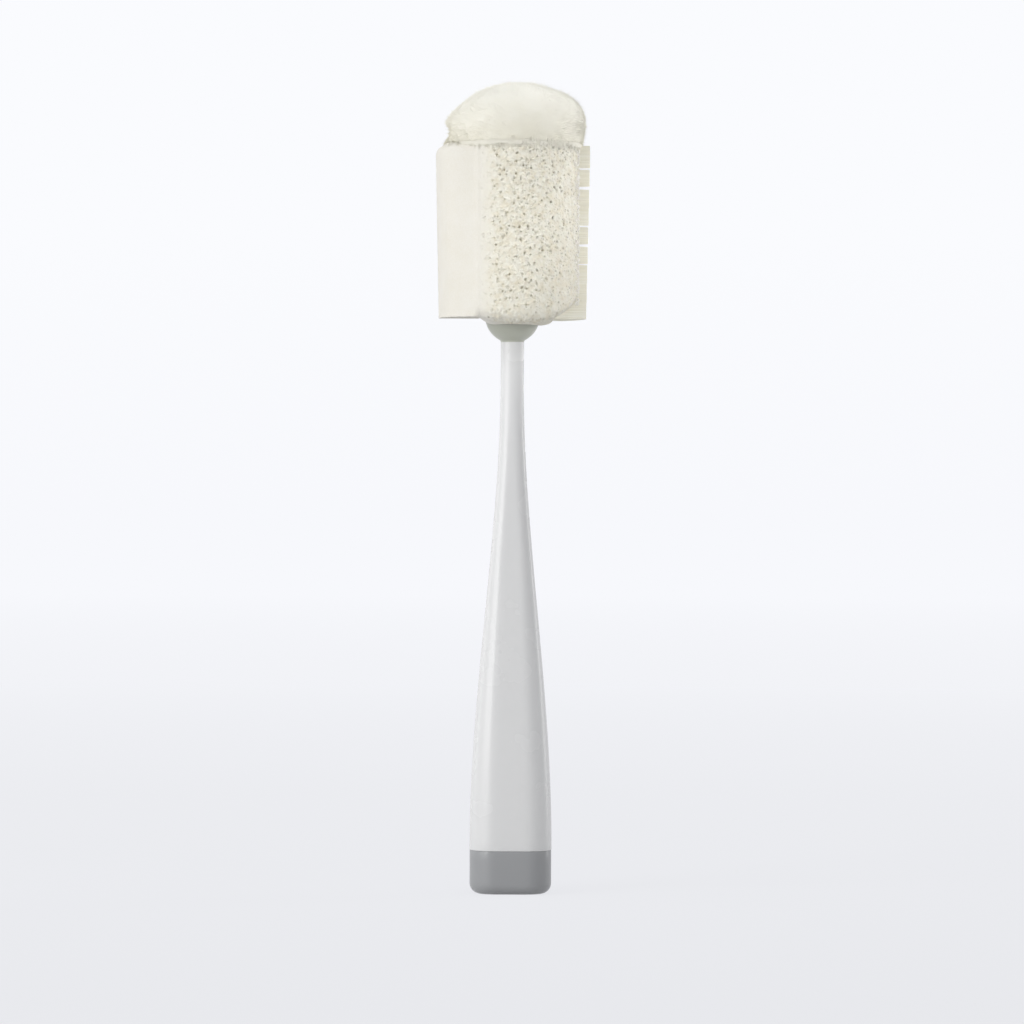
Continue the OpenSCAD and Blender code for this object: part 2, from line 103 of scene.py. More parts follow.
# %% [markdown]
# ## Writing shader nodes
# Every surface is described by a small net of shader nodes. The net could be drawn by hand in
# the editor, but then its values would be hard to read and to compare. With the helpers below,
# one line says what a node is, what goes into it and which output is used.

# %% Short ways to write nodes
def feed(tree, node, sockets):
    """Gives sockets, by name or number, a plain value or the output of another node."""
    for key, value in sockets.items():
        if isinstance(value, bpy.types.NodeSocket):
            tree.links.new(value, node.inputs[key])
        else:
            node.inputs[key].default_value = value

def add_node(tree, kind, sockets, operation=None, clamp=False):
    node = tree.nodes.new("ShaderNode" + kind)
    if operation:
        node.operation = operation
    if clamp:
        node.use_clamp = True
    feed(tree, node, sockets)
    return node

def calculate(tree, operation, *values, clamp=False):
    return add_node(tree, "Math", dict(enumerate(values)), operation, clamp).outputs[0]

def ranged(tree, value, low, high, start=0, end=1):
    """Goes from `start` to `end` while a value goes from `low` to `high`."""
    return add_node(tree, "MapRange", {"Value": value, "From Min": low, "From Max": high,
                                       "To Min": start, "To Max": end}).outputs["Result"]

def mix_colours(tree, share, first, second):
    node = tree.nodes.new("ShaderNodeMix")
    node.data_type = "RGBA"
    feed(tree, node, {0: share, 6: first, 7: second})
    return node.outputs[2]

def mix_shaders(tree, share, first, second):
    return add_node(tree, "MixShader", {0: share, 1: first, 2: second}).outputs[0]

def colour_at(tree, value, stops):
    """The colour that belongs to a value. `stops` are pairs of a value and its colour."""
    low, high = stops[0][0], stops[-1][0]
    ramp = add_node(tree, "ValToRGB", {0: ranged(tree, value, low, high)})
    elements = ramp.color_ramp.elements
    while len(elements) < len(stops):
        elements.new(0.5)
    for element, (at, colour) in zip(elements, stops):
        element.position = (at - low) / (high - low)
        element.color = colour
    return ramp.outputs["Color"]

def place_on(tree, kind="Object"):
    return add_node(tree, "TexCoord", {}).outputs[kind]

def part_of(tree, vector, axis):
    return add_node(tree, "SeparateXYZ", {0: vector}).outputs[axis]

def carried(tree, name, output="Fac"):
    """What the vertices of a piece carry under a name."""
    node = add_node(tree, "Attribute", {})
    node.attribute_name = name
    return node.outputs[output]

def cloudy(tree, place, scale, detail):
    return add_node(tree, "TexNoise", {"Vector": place, "Scale": scale,
                                       "Detail": detail}).outputs["Fac"]

def bumped(tree, height, strength, distance):
    return add_node(tree, "Bump", {"Height": height, "Strength": strength,
                                   "Distance": distance * MM}).outputs[0]

def srgb(r, g, b):
    """A colour as a screen shows it, 0 to 255, turned into the plain light that shaders use."""
    def plain(v):
        v /= 255
        return v / 12.92 if v <= 0.04045 else ((v + 0.055) / 1.055) ** 2.4
    return (plain(r), plain(g), plain(b), 1)

print("mid grey", [round(c, 3) for c in srgb(128, 128, 128)])

# %% [markdown]
# ## The room
# The brush stands in a pale, even room. What the room shows and how much light it gives are set
# apart, because a room that lit everything as brightly as it looks would wash out the form of
# the handle. A white wall behind the brush could do this too, but it would have edges and throw
# light of its own.

# %% A pale world
def seen_directly(tree):
    """1 for a ray from the camera, a mirror or a glass, and 0 for one that carries light."""
    path = add_node(tree, "LightPath", {}).outputs
    either = calculate(tree, "ADD", path["Is Camera Ray"], path["Is Glossy Ray"])
    return calculate(tree, "ADD", either, path["Is Transmission Ray"], clamp=True)

def pale_world(light, top, horizon, blend=0.06):
    """`light` is what it gives, and it shows `horizon` below and `top` above, which run into
    each other over `blend` of the way up."""
    world = bpy.data.worlds.new("Pale room")
    bpy.context.scene.world = world
    world.use_nodes = True
    tree = world.node_tree
    tree.nodes.clear()
    up = part_of(tree, place_on(tree, "Generated"), "Z")
    shown = mix_colours(tree, ranged(tree, up, 0, blend), horizon, top)
    lit = add_node(tree, "Background", {"Color": light}).outputs[0]
    seen = add_node(tree, "Background", {"Color": shown}).outputs[0]
    add_node(tree, "OutputWorld", {"Surface": mix_shaders(tree, seen_directly(tree), lit, seen)})
    return world

pale_world(light=(0.57, 0.575, 0.59, 1), top=srgb(250, 251, 254), horizon=srgb(247, 248, 252))
print("world", bpy.context.scene.world.name)

# %% [markdown]
# ## Shared effects
# Moulded plastic is never one flat colour. Its skin has a very fine grain from the mould and
# the gloss is a little uneven. Fibre and bristle vary from strand to strand instead. Each of
# these is used by several materials. It could be written into each of them, but is built once,
# as a node group that puts out plain colours and values, so that a change reaches all of them.

# %% A group for moulded skin
def new_group(name, numbers, colours, outputs):
    """A node group, what it is given, and the node that takes what it puts out."""
    group = bpy.data.node_groups.new(name, "ShaderNodeTree")
    inputs = [(label, "NodeSocketColor", value) for label, value in colours]
    inputs += [(label, "NodeSocketFloat", value) for label, value in numbers]
    for label, kind, value in inputs:
        socket = group.interface.new_socket(name=label, in_out="INPUT", socket_type=kind)
        socket.default_value = value
    for label, kind in outputs:
        group.interface.new_socket(name=label, in_out="OUTPUT", socket_type=kind)
    return group, group.nodes.new("NodeGroupInput").outputs, group.nodes.new("NodeGroupOutput")

def use_group(tree, group, values):
    node = tree.nodes.new("ShaderNodeGroup")
    node.node_tree = group
    feed(tree, node, values)
    return node.outputs

def moulded_skin():
    group, given, made = new_group(
        "Moulded skin",
        [("Grain", 9000), ("Mottle", 0.03), ("Gloss", 0.35), ("Gloss Spread", 0.04)],
        [("Colour", (0.6, 0.6, 0.6, 1))],
        [("Colour", "NodeSocketColor"), ("Roughness", "NodeSocketFloat"),
         ("Height", "NodeSocketFloat")])
    place = place_on(group)
    signed = calculate(group, "SUBTRACT", cloudy(group, place, scale=60, detail=3), 0.5)
    shade = calculate(group, "MULTIPLY_ADD", signed, given["Mottle"], 1)
    tint = add_node(group, "VectorMath", {0: given["Colour"], "Scale": shade}, "SCALE").outputs[0]
    gloss = calculate(group, "MULTIPLY_ADD", signed, given["Gloss Spread"], given["Gloss"])
    grain = cloudy(group, place, scale=given["Grain"], detail=2)
    feed(group, made, {"Colour": tint, "Roughness": gloss, "Height": grain})
    return group

skin = moulded_skin()
print("group", skin.name, [i.name for i in skin.interface.items_tree])

# %% [markdown]
# Strands of one bundle all carry a vector, `spread`, that says where in the bundle each one
# ends. It doesn't change along a strand, so a noise that reads it gives every strand its own
# shade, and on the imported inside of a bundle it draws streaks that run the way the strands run.
# A noise in plain object space would cut across the strands instead.

# %% A group for strands
def strand_shade():
    group, given, made = new_group(
        "Strand shade",
        [("Fineness", 1600), ("Patches", 160), ("Contrast", 1)],
        [("Light", (0.9, 0.9, 0.9, 1)), ("Deep", (0.7, 0.7, 0.7, 1))],
        [("Colour", "NodeSocketColor"), ("Height", "NodeSocketFloat")])
    spread = carried(group, "spread", "Vector")
    fine = cloudy(group, spread, scale=given["Fineness"], detail=2)
    patch = cloudy(group, spread, scale=given["Patches"], detail=2)
    both = calculate(group, "MULTIPLY_ADD", patch, 0.6, calculate(group, "MULTIPLY", fine, 0.7))
    share = calculate(group, "MULTIPLY", ranged(group, both, 0.45, 0.85), given["Contrast"],
                      clamp=True)
    feed(group, made, {"Colour": mix_colours(group, share, given["Light"], given["Deep"]),
                       "Height": fine})
    return group

strands = strand_shade()
print("group", strands.name)

# %% [markdown]
# ## Materials
# The handle is a light grey gloss plastic, its cap a mid grey one, and the cup a softer
# grey-green one. The gloss could come from a clear coat, but one plain surface with an even
# roughness gives the broad, calm highlight of bare moulded plastic.

# %% Plastics
def principled(name):
    material = bpy.data.materials.new(name)
    material.use_nodes = True
    return material, material.node_tree, material.node_tree.nodes["Principled BSDF"]

def plastic(name, colour, gloss, grain_depth):
    """`grain_depth` is how deep the mould's grain goes, in mm."""
    material, tree, shader = principled(name)
    made = use_group(tree, skin, {"Colour": colour, "Gloss": gloss, "Mottle": 0.02})
    feed(tree, shader, {"Base Color": made["Colour"], "Roughness": made["Roughness"],
                        "Normal": bumped(tree, made["Height"], 0.12, grain_depth)})
    return material

handle_grey = plastic("Handle grey", srgb(214, 214, 213), gloss=0.27, grain_depth=0.002)
cap_grey = plastic("Cap grey", srgb(147, 148, 149), gloss=0.3, grain_depth=0.004)
cup_green = plastic("Cup grey green", srgb(175, 177, 164), gloss=0.28, grain_depth=0.01)
print("plastics", handle_grey.name, cap_grey.name, cup_green.name)

# %% [markdown]
# ## The anchor plates
# A small plate of bent brass holds each tuft in its hole. The plates are hidden by the bristle,
# so they could do without a material, but a piece that is taken apart should still look right.
# They stay the shapes of the solid model and get a plain, slightly uneven metal.

# %% Brass for the anchor plates
def brass(name, colour):
    material, tree, shader = principled(name)
    made = use_group(tree, skin, {"Colour": colour, "Gloss": 0.3, "Mottle": 0.2})
    feed(tree, shader, {"Base Color": made["Colour"], "Roughness": made["Roughness"],
                        "Metallic": 1})
    return material

anchor_brass = brass("Anchor brass", (0.72, 0.56, 0.28, 1))
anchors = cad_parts["tuft_anchors"]
for slot in anchors.material_slots:
    slot.material = anchor_brass
print("anchors", len(anchors.material_slots), "slot")

# %% [markdown]
# ## Bristle and fibre
# Cut nylon is nearly white, with a soft sheen and no clear highlight. The far wing's bristle is
# painted lighter and warmer than the near one's, as painted light that lifts the shade the sponge
# throws on it. The crown is whitest at its top, and down at its rim it is painted darker and
# warmer, as painted shade that runs it into the foam. That could be a noise all over the crown,
# but it is the height that decides it, so the tint follows the height.

# %% Strand materials
def tinted_by_height(tree, colour, stops):
    """Multiplies a colour by a tint of painted shade. `stops` are pairs of a height, in m, and its
    tint.
    """
    tint = colour_at(tree, part_of(tree, place_on(tree), "Z"), stops)
    return add_node(tree, "VectorMath", {0: tint, 1: colour}, "MULTIPLY").outputs[0]

def strand_material(name, light, deep, contrast, roughness, fineness, sheen, shade_tints=None):
    material, tree, shader = principled(name)
    made = use_group(tree, strands, {"Light": light, "Deep": deep, "Contrast": contrast,
                                     "Fineness": fineness})
    colour = tinted_by_height(tree, made["Colour"], shade_tints) if shade_tints else made["Colour"]
    feed(tree, shader, {"Base Color": colour, "Normal": bumped(tree, made["Height"], 0.4, 0.1),
                        "Roughness": roughness, "Specular IOR Level": 0.25,
                        "Sheen Weight": sheen})
    return material

# Painted shade: the crown turns darker and warmer towards its rim, down where it meets the foam.
RIM_SHADE_TINTS = [(0.2766, (0.845, 0.83, 0.775, 1)), (0.2778, (0.93, 0.915, 0.862, 1)),
             (0.297, (1, 1, 1, 1))]
wing_cream = strand_material(
    "Wing bristle", srgb(221, 218, 209), srgb(217, 213, 201), 1, 0.6, 1800, sheen=0.15)
# The far wing's copy is painted lighter and warmer: painted light for the shade it stands in.
far_painted_light_cream = strand_material(
    "Wing bristle painted lighter", srgb(243, 241, 229), srgb(236, 232, 214), 1, 0.6, 1800, sheen=0.15)
crown_white = strand_material(
    "Crown fibre", srgb(239, 238, 231), srgb(237, 235, 227), 0.4, 0.75, 1400, sheen=0.3,
    shade_tints=RIM_SHADE_TINTS)
print("strands", wing_cream.name, crown_white.name)

# %% [markdown]
# ## Helpers for skins and pieces
# A lofted skin starts as one circle of vertices. Its edges are extruded from ring to ring, each
# new ring is put on the next section, and the two end rings are closed. A curve with a bevel
# could make a round handle, but not one that turns from round to square on its way down.

# %% Loft a skin through rings
def next_ring(bm, ring, places):
    """Extrudes a ring of vertices once, and puts the new ring on its places."""
    count = len(ring)
    edges = [bm.edges.get((ring[i], ring[(i + 1) % count])) for i in range(count)]
    made = bmesh.ops.extrude_edge_only(bm, edges=edges)["geom"]
    fresh = {g for g in made if isinstance(g, bmesh.types.BMVert)}
    onward = []
    for vert in ring:
        far = next(e.other_vert(vert) for e in vert.link_edges if e.other_vert(vert) in fresh)
        onward.append(far)
    for vert, place in zip(onward, places):
        vert.co = place
    return onward

def close_ring(bm, ring):
    edges = [bm.edges.get((ring[i - 1], ring[i])) for i in range(len(ring))]
    bmesh.ops.edgeloop_fill(bm, edges=edges)

def loft(bm, sections):
    """A closed skin through rings of places, with a face over its first and its last ring."""
    sections = list(sections)
    ring = bmesh.ops.create_circle(bm, segments=len(sections[0]), radius=1)["verts"]
    for vert, place in zip(ring, sections[0]):
        vert.co = place
    close_ring(bm, ring)
    for places in sections[1:]:
        ring = next_ring(bm, ring, places)
    close_ring(bm, ring)

trial = bmesh.new()
loft(trial, [[(math.cos(a), math.sin(a), z) for a in (0, 2, 4)] for z in (0, 1)])
print("trial prism", len(trial.faces), "faces")
trial.free()

# %% Turn a finished bmesh into a piece of the object
def add_piece(name, bm, material, nodes, crease=None):
    """`nodes` are the solids it stands for. An edge stays sharp past the angle `crease`, in
    degrees, and without one the piece is smooth all over."""
    if crease is not None:
        for edge in bm.edges:
            edge.smooth = edge.calc_face_angle(0) < math.radians(crease)
    for face in bm.faces:
        face.smooth = True
    mesh = bpy.data.meshes.new(name)
    quads = [f for f in bm.faces if len(f.verts) == 4]
    bmesh.ops.triangulate(bm, faces=quads, quad_method="SHORT_EDGE")
    bm.to_mesh(mesh)
    bm.free()
    mesh.materials.append(material)
    piece = bpy.data.objects.new(name, mesh)
    bpy.context.collection.objects.link(piece)
    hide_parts(*nodes)
    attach(piece, "root")
    mesh.calc_loop_triangles()
    print(name, len(mesh.loop_triangles), "triangles, for", len(nodes), "solids")
    return piece

# %% [markdown]
# ## The handle
# The handle swells from a round neck to a square grip with generous corners, in one S-curve.
# The curve is a single Bezier, so there is no kink where the neck ends. The real handle is a
# hollow moulding, and so is this skin: it starts inside at the top of the hollow, comes out at
# the seam, and closes at the neck.

# %% The handle's curves
CAP_H, SEAM_CHAMFER, CAP_STEP = 16.1, 0.25, 0.12
SEAM_Z, NECK_Z = CAP_H, CAP_H + 187.7
CURVE_TOP_Z = NECK_Z - 13.8
NECK_R, GRIP_HALF, GRIP_CORNER, WALL = 4.3, 15.2, 9.7, 2.2
SPIGOT_L, SOCKET_SLACK, CAVITY_DROP = 24, 1, 22
CAVITY_TOP_Z = NECK_Z - SPIGOT_L - SOCKET_SLACK - CAVITY_DROP
SEAM_PULL, NECK_PULL, CORNER_FADE, LEAST_FLAT = 60, 58, 70, 0.02

def bezier(a, b, c, d, t):
    return (1 - t)**3 * a + 3 * (1 - t)**2 * t * b + 3 * (1 - t) * t * t * c + t**3 * d

def outline(t):
    """Height and half width of the handle, from the seam (0) to the neck (1)."""
    return (bezier(SEAM_Z, SEAM_Z + SEAM_PULL, CURVE_TOP_Z - NECK_PULL, CURVE_TOP_Z, t),
            bezier(GRIP_HALF, GRIP_HALF, NECK_R, NECK_R, t))

def outline_at(z):
    """The place on the outline, 0 to 1, that is as high as z. It is found by halving."""
    low, high = 0.0, 1.0
    for _ in range(40):
        t = (low + high) / 2
        low, high = (t, high) if outline(t)[0] < z else (low, t)
    return low

def corner_share(z):
    """The corner's radius as a part of the half width: 1 is round."""
    s = max(0, min(1, (CURVE_TOP_Z - z) / CORNER_FADE))
    return 1 - (1 - GRIP_CORNER / GRIP_HALF) * s * s * (3 - 2 * s)

def squared_ring(half, corner, z, steps=12, flat=4):
    """A square with round corners and a few points along each flat side, once round."""
    ring = []
    corner = min(corner, half - LEAST_FLAT)
    for quarter in range(4):
        turn = math.radians(90 * quarter)
        c = (half - corner) * math.sqrt(2)
        middle = Vector((c * math.cos(turn + math.pi / 4), c * math.sin(turn + math.pi / 4)))
        for i in range(steps + 1):
            a = turn + math.pi / 2 * i / steps
            ring.append(middle + corner * Vector((math.cos(a), math.sin(a))))
        after = turn + math.pi / 2
        along = Vector((math.cos(after + math.pi / 2), math.sin(after + math.pi / 2)))
        span = 2 * (half - corner)
        for i in range(1, flat):
            ring.append(ring[-i] + along * span * i / flat)
    return [Vector((p.x, p.y, z)) * MM for p in ring]

def handle_ring(t, inset=0.0):
    z, half = outline(t)
    corner = half * corner_share(z)
    return squared_ring(half - inset, corner - inset, z)

print("seam", SEAM_Z, "neck", NECK_Z, "widest", 2 * outline(0)[1])

# %% The handle's skin
def handle_skin(steps=72):
    bm = bmesh.new()
    top = outline_at(CAVITY_TOP_Z)
    inside = [handle_ring(top * i / 24, WALL) for i in range(24, -1, -1)]
    c = SEAM_CHAMFER
    lip = [squared_ring(GRIP_HALF - c * (1 - math.sin(a)), GRIP_CORNER - c * (1 - math.sin(a)),
                        SEAM_Z + c * (1 - math.cos(a)))
           for a in (0, math.pi / 6, math.pi / 3)]
    start = outline_at(SEAM_Z + c)
    outside = [handle_ring(start + (1 - start) * i / steps) for i in range(steps + 1)]
    neck = [squared_ring(NECK_R, NECK_R, z) for z in (CURVE_TOP_Z + 7, NECK_Z)]
    loft(bm, inside + lip + outside + neck)
    bmesh.ops.recalc_face_normals(bm, faces=bm.faces)
    return add_piece("handle_skin", bm, handle_grey, ["handle"], crease=32)

handle_piece = handle_skin()

# %% [markdown]
# ## The end cap
# The cap is a short cup of darker plastic with a rounded foot. It could be cut from the handle's
# own skin, but it is a second moulding with its own edge, and the fine dark line between the two
# only shows if there is a real gap with two small rounded lips.

# %% The end cap's skin
CAP_EDGE, CAP_FLOOR, PLUG_H, PLUG_SLACK, PLUG_WALL = 3.9, 2.5, 9, 0.1, 1.8

def cap_skin():
    bm = bmesh.new()
    half, corner, edge, c = GRIP_HALF - CAP_STEP, GRIP_CORNER - CAP_STEP, CAP_EDGE, SEAM_CHAMFER
    def ring(inset, z):
        return squared_ring(half - inset, corner - inset, z)
    foot = [ring(edge * (1 - math.sin(a)), edge * (1 - math.cos(a)))
            for a in [math.pi / 2 * i / 14 for i in range(15)]]
    sides = [ring(0, edge + (SEAM_Z - c - edge) * k / 4) for k in (1, 2, 3, 4)]
    lip = [ring(c * (1 - math.cos(a)), SEAM_Z - c * (1 - math.sin(a)))
           for a in (math.pi / 6, math.pi / 3, math.pi / 2)]
    plug_top = SEAM_Z + PLUG_H
    plug = outline(outline_at(plug_top))[1] - WALL - PLUG_SLACK
    plug_corner = GRIP_CORNER * plug / GRIP_HALF
    inner = [squared_ring(plug - i, plug_corner - i, z) for i, z in (
        (0, SEAM_Z), (0, plug_top - c), (c, plug_top), (PLUG_WALL, plug_top),
        (PLUG_WALL, CAP_FLOOR))]
    loft(bm, foot + sides + lip + inner)
    bmesh.ops.recalc_face_normals(bm, faces=bm.faces)
    return add_piece("end_cap_skin", bm, cap_grey, ["end_cap"], crease=32)

cap_piece = cap_skin()

# %% [markdown]
# ## The cup and the spine
# Below the bristles sits a ball-shaped cup on a small fillet, and out of it rises the spine that
# carries the tufts. All of it is round, so one profile is spun once about the axis. A ball and
# some cylinders would leave creases where they meet.

# %% The core's skin
CUP_R, CUP_CUT, FILLET, SPINE_R = 10.2, 1.2, 1.0, 7.0
SPIGOT_R, SPIGOT_EDGE = 2.5, 0.6
CUP_Z = NECK_Z + math.sqrt((CUP_R + FILLET)**2 - (NECK_R + FILLET)**2)
CUP_TOP_Z = CUP_Z - CUP_CUT
TIP_Z = 276.27

def core_profile():
    """Radius and height of the core, from the foot of its spigot to the spine's tip."""
    points = [(0, NECK_Z - SPIGOT_L), (SPIGOT_R - SPIGOT_EDGE, NECK_Z - SPIGOT_L),
              (SPIGOT_R, NECK_Z - (SPIGOT_L - SPIGOT_EDGE)), (SPIGOT_R, NECK_Z),
              (NECK_R, NECK_Z)]
    meet = math.atan2(CUP_Z - NECK_Z, NECK_R + FILLET)
    for i in range(1, 7):
        a = meet * i / 6
        points.append((NECK_R + FILLET - FILLET * math.cos(a), NECK_Z + FILLET * math.sin(a)))
    low, high = -meet, -math.asin(CUP_CUT / CUP_R)
    for i in range(1, 25):
        a = low + (high - low) * i / 24
        points.append((CUP_R * math.cos(a), CUP_Z + CUP_R * math.sin(a)))
    points += [(SPINE_R, CUP_TOP_Z), (SPINE_R, (CUP_TOP_Z + TIP_Z) / 2)]
    points += [(SPINE_R * math.cos(a), TIP_Z + SPINE_R * math.sin(a))
               for a in [math.pi / 2 * i / 8 for i in range(9)]]
    points[-1] = (0, TIP_Z + SPINE_R)
    return points

def core_skin():
    bm = bmesh.new()
    line = [bm.verts.new((r * MM, 0, z * MM)) for r, z in core_profile()]
    edges = [bm.edges.new(pair) for pair in zip(line, line[1:])]
    bmesh.ops.spin(bm, geom=line + edges, cent=(0, 0, 0), axis=(0, 0, 1),
                   angle=2 * math.pi, steps=72, use_merge=True)
    bmesh.ops.remove_doubles(bm, verts=bm.verts, dist=0.001 * MM)
    bmesh.ops.recalc_face_normals(bm, faces=bm.faces)
    return add_piece("core_skin", bm, cup_green, ["head_core"], crease=32)

core_piece = core_skin()

# %% [markdown]
# ## Strands
# A bristle is a thin straight thread. Hair particles would draw thousands of them at once, but
# they aren't a mesh, so they could be neither measured nor exported. Here each strand is a cone
# with three sides. One tuft is made strand by strand and then copied along the wing, as the
# machine that fills a brush does.

# %% One strand
HEAD_TURN = math.radians(24)
HEAD_UP = Matrix.Rotation(HEAD_TURN, 4, "Z")

def add_strand(bm, start, end, thin, thick, spread, tag):
    """A three-sided thread from start to end. Under `tag` it carries `spread`, where it ends in
    its bundle."""
    run = end - start
    turn = run.to_track_quat("Z", "Y").to_matrix().to_4x4()
    place = Matrix.Translation((start + end) / 2) @ turn
    made = bmesh.ops.create_cone(bm, cap_ends=True, segments=3, radius1=thin, radius2=thick,
                                 depth=run.length, matrix=place)["verts"]
    for vert in made:
        vert[tag] = spread
    return made

def disc_place(u, v):
    """Where a strand that ends at u, v of its patch (-1 to 1) stands in its round hole."""
    r = max(abs(u), abs(v))
    a = math.atan2(v, u)
    return Vector((math.cos(a), math.sin(a))) * r

print("a patch's corner stands at", [round(c, 2) for c in disc_place(1, 1)])

# %% [markdown]
# ## A tuft of a wing
# Every hole holds a round bundle that is spread and cut to a rectangle. It could be strands all
# through, but behind the cut ends the bundle is so dense that no light comes through. So it gets
# a packed inside, a block from the hole to just under the tips, and only the strands that show.

# %% A packed block of strands
def open_edges(mesh):
    """How many edges don't join exactly two faces. A closed skin has none."""
    users = {}
    for polygon in mesh.polygons:
        for key in polygon.edge_keys:
            users[key] = users.get(key, 0) + 1
    return sum(1 for n in users.values() if n != 2)

def packed_block(bm, tag, mark, levels, columns=10, rows=6):
    """A closed block through levels, each a rule that puts a square grid's u, v in its place."""
    grid = bmesh.ops.create_grid(bm, x_segments=columns, y_segments=rows, size=1)["verts"]
    spots = [(v.co.x, v.co.y) for v in grid]
    faces = list(bm.faces)
    for number, level in enumerate(levels):
        for vert, (u, v) in zip(grid, spots):
            vert.co = level(u, v)
            vert[tag] = mark(u, v)
        if number < len(levels) - 1:
            made = bmesh.ops.extrude_face_region(bm, geom=faces)["geom"]
            fresh = [g for g in made if isinstance(g, bmesh.types.BMVert)]
            near = {v.co.copy().freeze(): v for v in fresh}
            grid = [near[vert.co.copy().freeze()] for vert in grid]
            if number > 0:
                bmesh.ops.delete(bm, geom=faces, context="FACES")
            faces = [g for g in made if isinstance(g, bmesh.types.BMFace)]
    rim = [e for e in bm.edges if e.is_boundary]
    bmesh.ops.holes_fill(bm, edges=rim, sides=len(rim))

trial = bmesh.new()
trial_tag = trial.verts.layers.float_vector.new("spread")
packed_block(trial, trial_tag, lambda u, v: Vector((u, v, 0)),
             [lambda u, v: Vector((u, v, 0)), lambda u, v: Vector((u, v, 1))])
print("trial block", len(trial.faces), "faces")
trial.free()

# %% One tuft
WING_R, WING_FLARE, FAN_R, LOW_FAN_R = 27.35, 1.2, 16.0, 12.5
ROOT_R, ROOT_DEPTH, COLUMN_PITCH, TIP_L = 1.17, 0.6, 3.0, 3
ROWS, ROW_PITCH, ROW_OVERLAP, LOWEST, HIGHEST = 9, 7.1, 0.05, -2.3, 5
FIRST_ROW_Z = CUP_TOP_Z + 2.4
SPLIT, EDGE = math.radians(0.08), math.radians(24)
STRAND_PITCH, TUFT_VARIANTS = 0.42, 3

def tuft_mesh(name, low, high, seed, fan=FAN_R, pitch=STRAND_PITCH):
    """The tuft of column b, with its hole at height 0 and its tips at WING_R. It fans out up to
    the radius `fan`, and from there its sides run straight."""
    rng = random.Random(seed)
    bm = bmesh.new()
    tag = bm.verts.layers.float_vector.new("spread")
    wide, tall = (EDGE - SPLIT) * WING_R, high - low
    mouth = Vector((SPINE_R, COLUMN_PITCH / 2, 0))
    def tip(u, v, r):
        a = SPLIT + (EDGE - SPLIT) * (u + 1) / 2
        return Vector((r * math.cos(a), r * math.sin(a), low + tall * (v + 1) / 2))
    def root(u, v):
        d = disc_place(u, v) * ROOT_R
        return mouth + Vector((-ROOT_DEPTH, d.x, d.y))
    def mark(u, v):
        return Vector((u * wide / 2, v * tall / 2, seed * 40)) * MM
    packed_block(bm, tag, mark, [lambda u, v: root(u, v),
                                 lambda u, v: tip(u * 0.99, v * 0.99, fan),
                                 lambda u, v: tip(u * 0.995, v * 0.995, WING_R - 0.1)])
    across, up = round(wide / pitch), round(tall / pitch)
    for i in range(across):
        for j in range(up):
            u = (2 * i + 1) / across - 1 + rng.uniform(-0.6, 0.6) / across
            w = (2 * j + 1) / up - 1 + rng.uniform(-0.6, 0.6) / up
            end = tip(u, w, WING_R + rng.gauss(-0.02, 0.03))
            edge = i in (0, across - 1) or j in (0, up - 1)
            start = tip(u, w, fan if edge else WING_R - TIP_L)
            add_strand(bm, start, end, pitch * 0.5, pitch * 0.55, mark(u, w), tag)
    bmesh.ops.scale(bm, vec=(MM, MM, MM), verts=bm.verts)
    bmesh.ops.recalc_face_normals(bm, faces=bm.faces)
    mesh = bpy.data.meshes.new(name)
    bm.to_mesh(mesh)
    bm.free()
    print(name, len(mesh.polygons), "faces, open edges", open_edges(mesh))
    return mesh

HALF_ROW = ROW_PITCH / 2 - ROW_OVERLAP
tuft_kinds = {
    "lowest": [tuft_mesh("tuft_lowest", LOWEST, HALF_ROW, seed=11, fan=LOW_FAN_R)],
    "middle": [tuft_mesh("tuft_middle_" + str(k), -HALF_ROW, HALF_ROW, seed=20 + k)
               for k in range(TUFT_VARIANTS)],
    "highest": [tuft_mesh("tuft_highest", -HALF_ROW, HIGHEST, seed=31)]}

# %% [markdown]
# ## The wings
# Copies of the tuft fill the rows of each wing. The upper rows reach a little further out. On the
# far wing a few rows stand slightly apart, so that thin lines of daylight show between them. The
# near wing is worn: its front edge is brushed back over the sponge and its top corner is round.
# Its strands could be combed one by one, but the wear is the same all along the wing, so every
# tuft is made new and then bent by one rule.

# %% How the wings are worn
WING_LOW, WING_HIGH = CUP_TOP_Z + 0.1, CUP_TOP_Z + 64.2
BRUSHED_FROM, BRUSHED_OVER = 5, 19
SWEPT_FROM, SWEPT_OVER, SWEPT_BY, SWEPT_R = 7, 17, 7.5, 21.5
SHOULDER_FROM, SHOULDER_OVER, SHOULDER_IN = 60, 4.2, 2.3
COMBED_UP, COMBED_ENDS = 0.068, 7

def smooth_step(x):
    """Goes from 0 to 1 with x, and starts and ends gently."""
    x = max(0.0, min(1.0, x))
    return x * x * (3 - 2 * x)

def worn_tips(x, y, tips, reach):
    """A wing's front edge is brushed over the sponge: its tips come in to `reach` mm and turn
    towards the sponge, and what is behind them is pressed together."""
    r, a = math.hypot(x, y), math.degrees(math.atan2(y, x))
    pressed = max(0, min(1, (r - FAN_R) / (tips - FAN_R))) ** 2
    r -= (tips - reach) * smooth_step((a - BRUSHED_FROM) / BRUSHED_OVER) * pressed
    a += SWEPT_BY * smooth_step((a - SWEPT_FROM) / SWEPT_OVER) * smooth_step((r - SWEPT_R) / 3)
    return r * math.cos(math.radians(a)), r * math.sin(math.radians(a))

def corner_wear(a):
    """How worn the near wing's top is at `a` degrees: 1 at its back edge, 0 towards the front."""
    return 1 - smooth_step((a + 24) / 30)

def shoulder(z):
    """How far the near wing's top edge is rounded in towards the crown, in mm."""
    return SHOULDER_IN * max(0, (z - CUP_TOP_Z - SHOULDER_FROM) / SHOULDER_OVER) ** 2.5

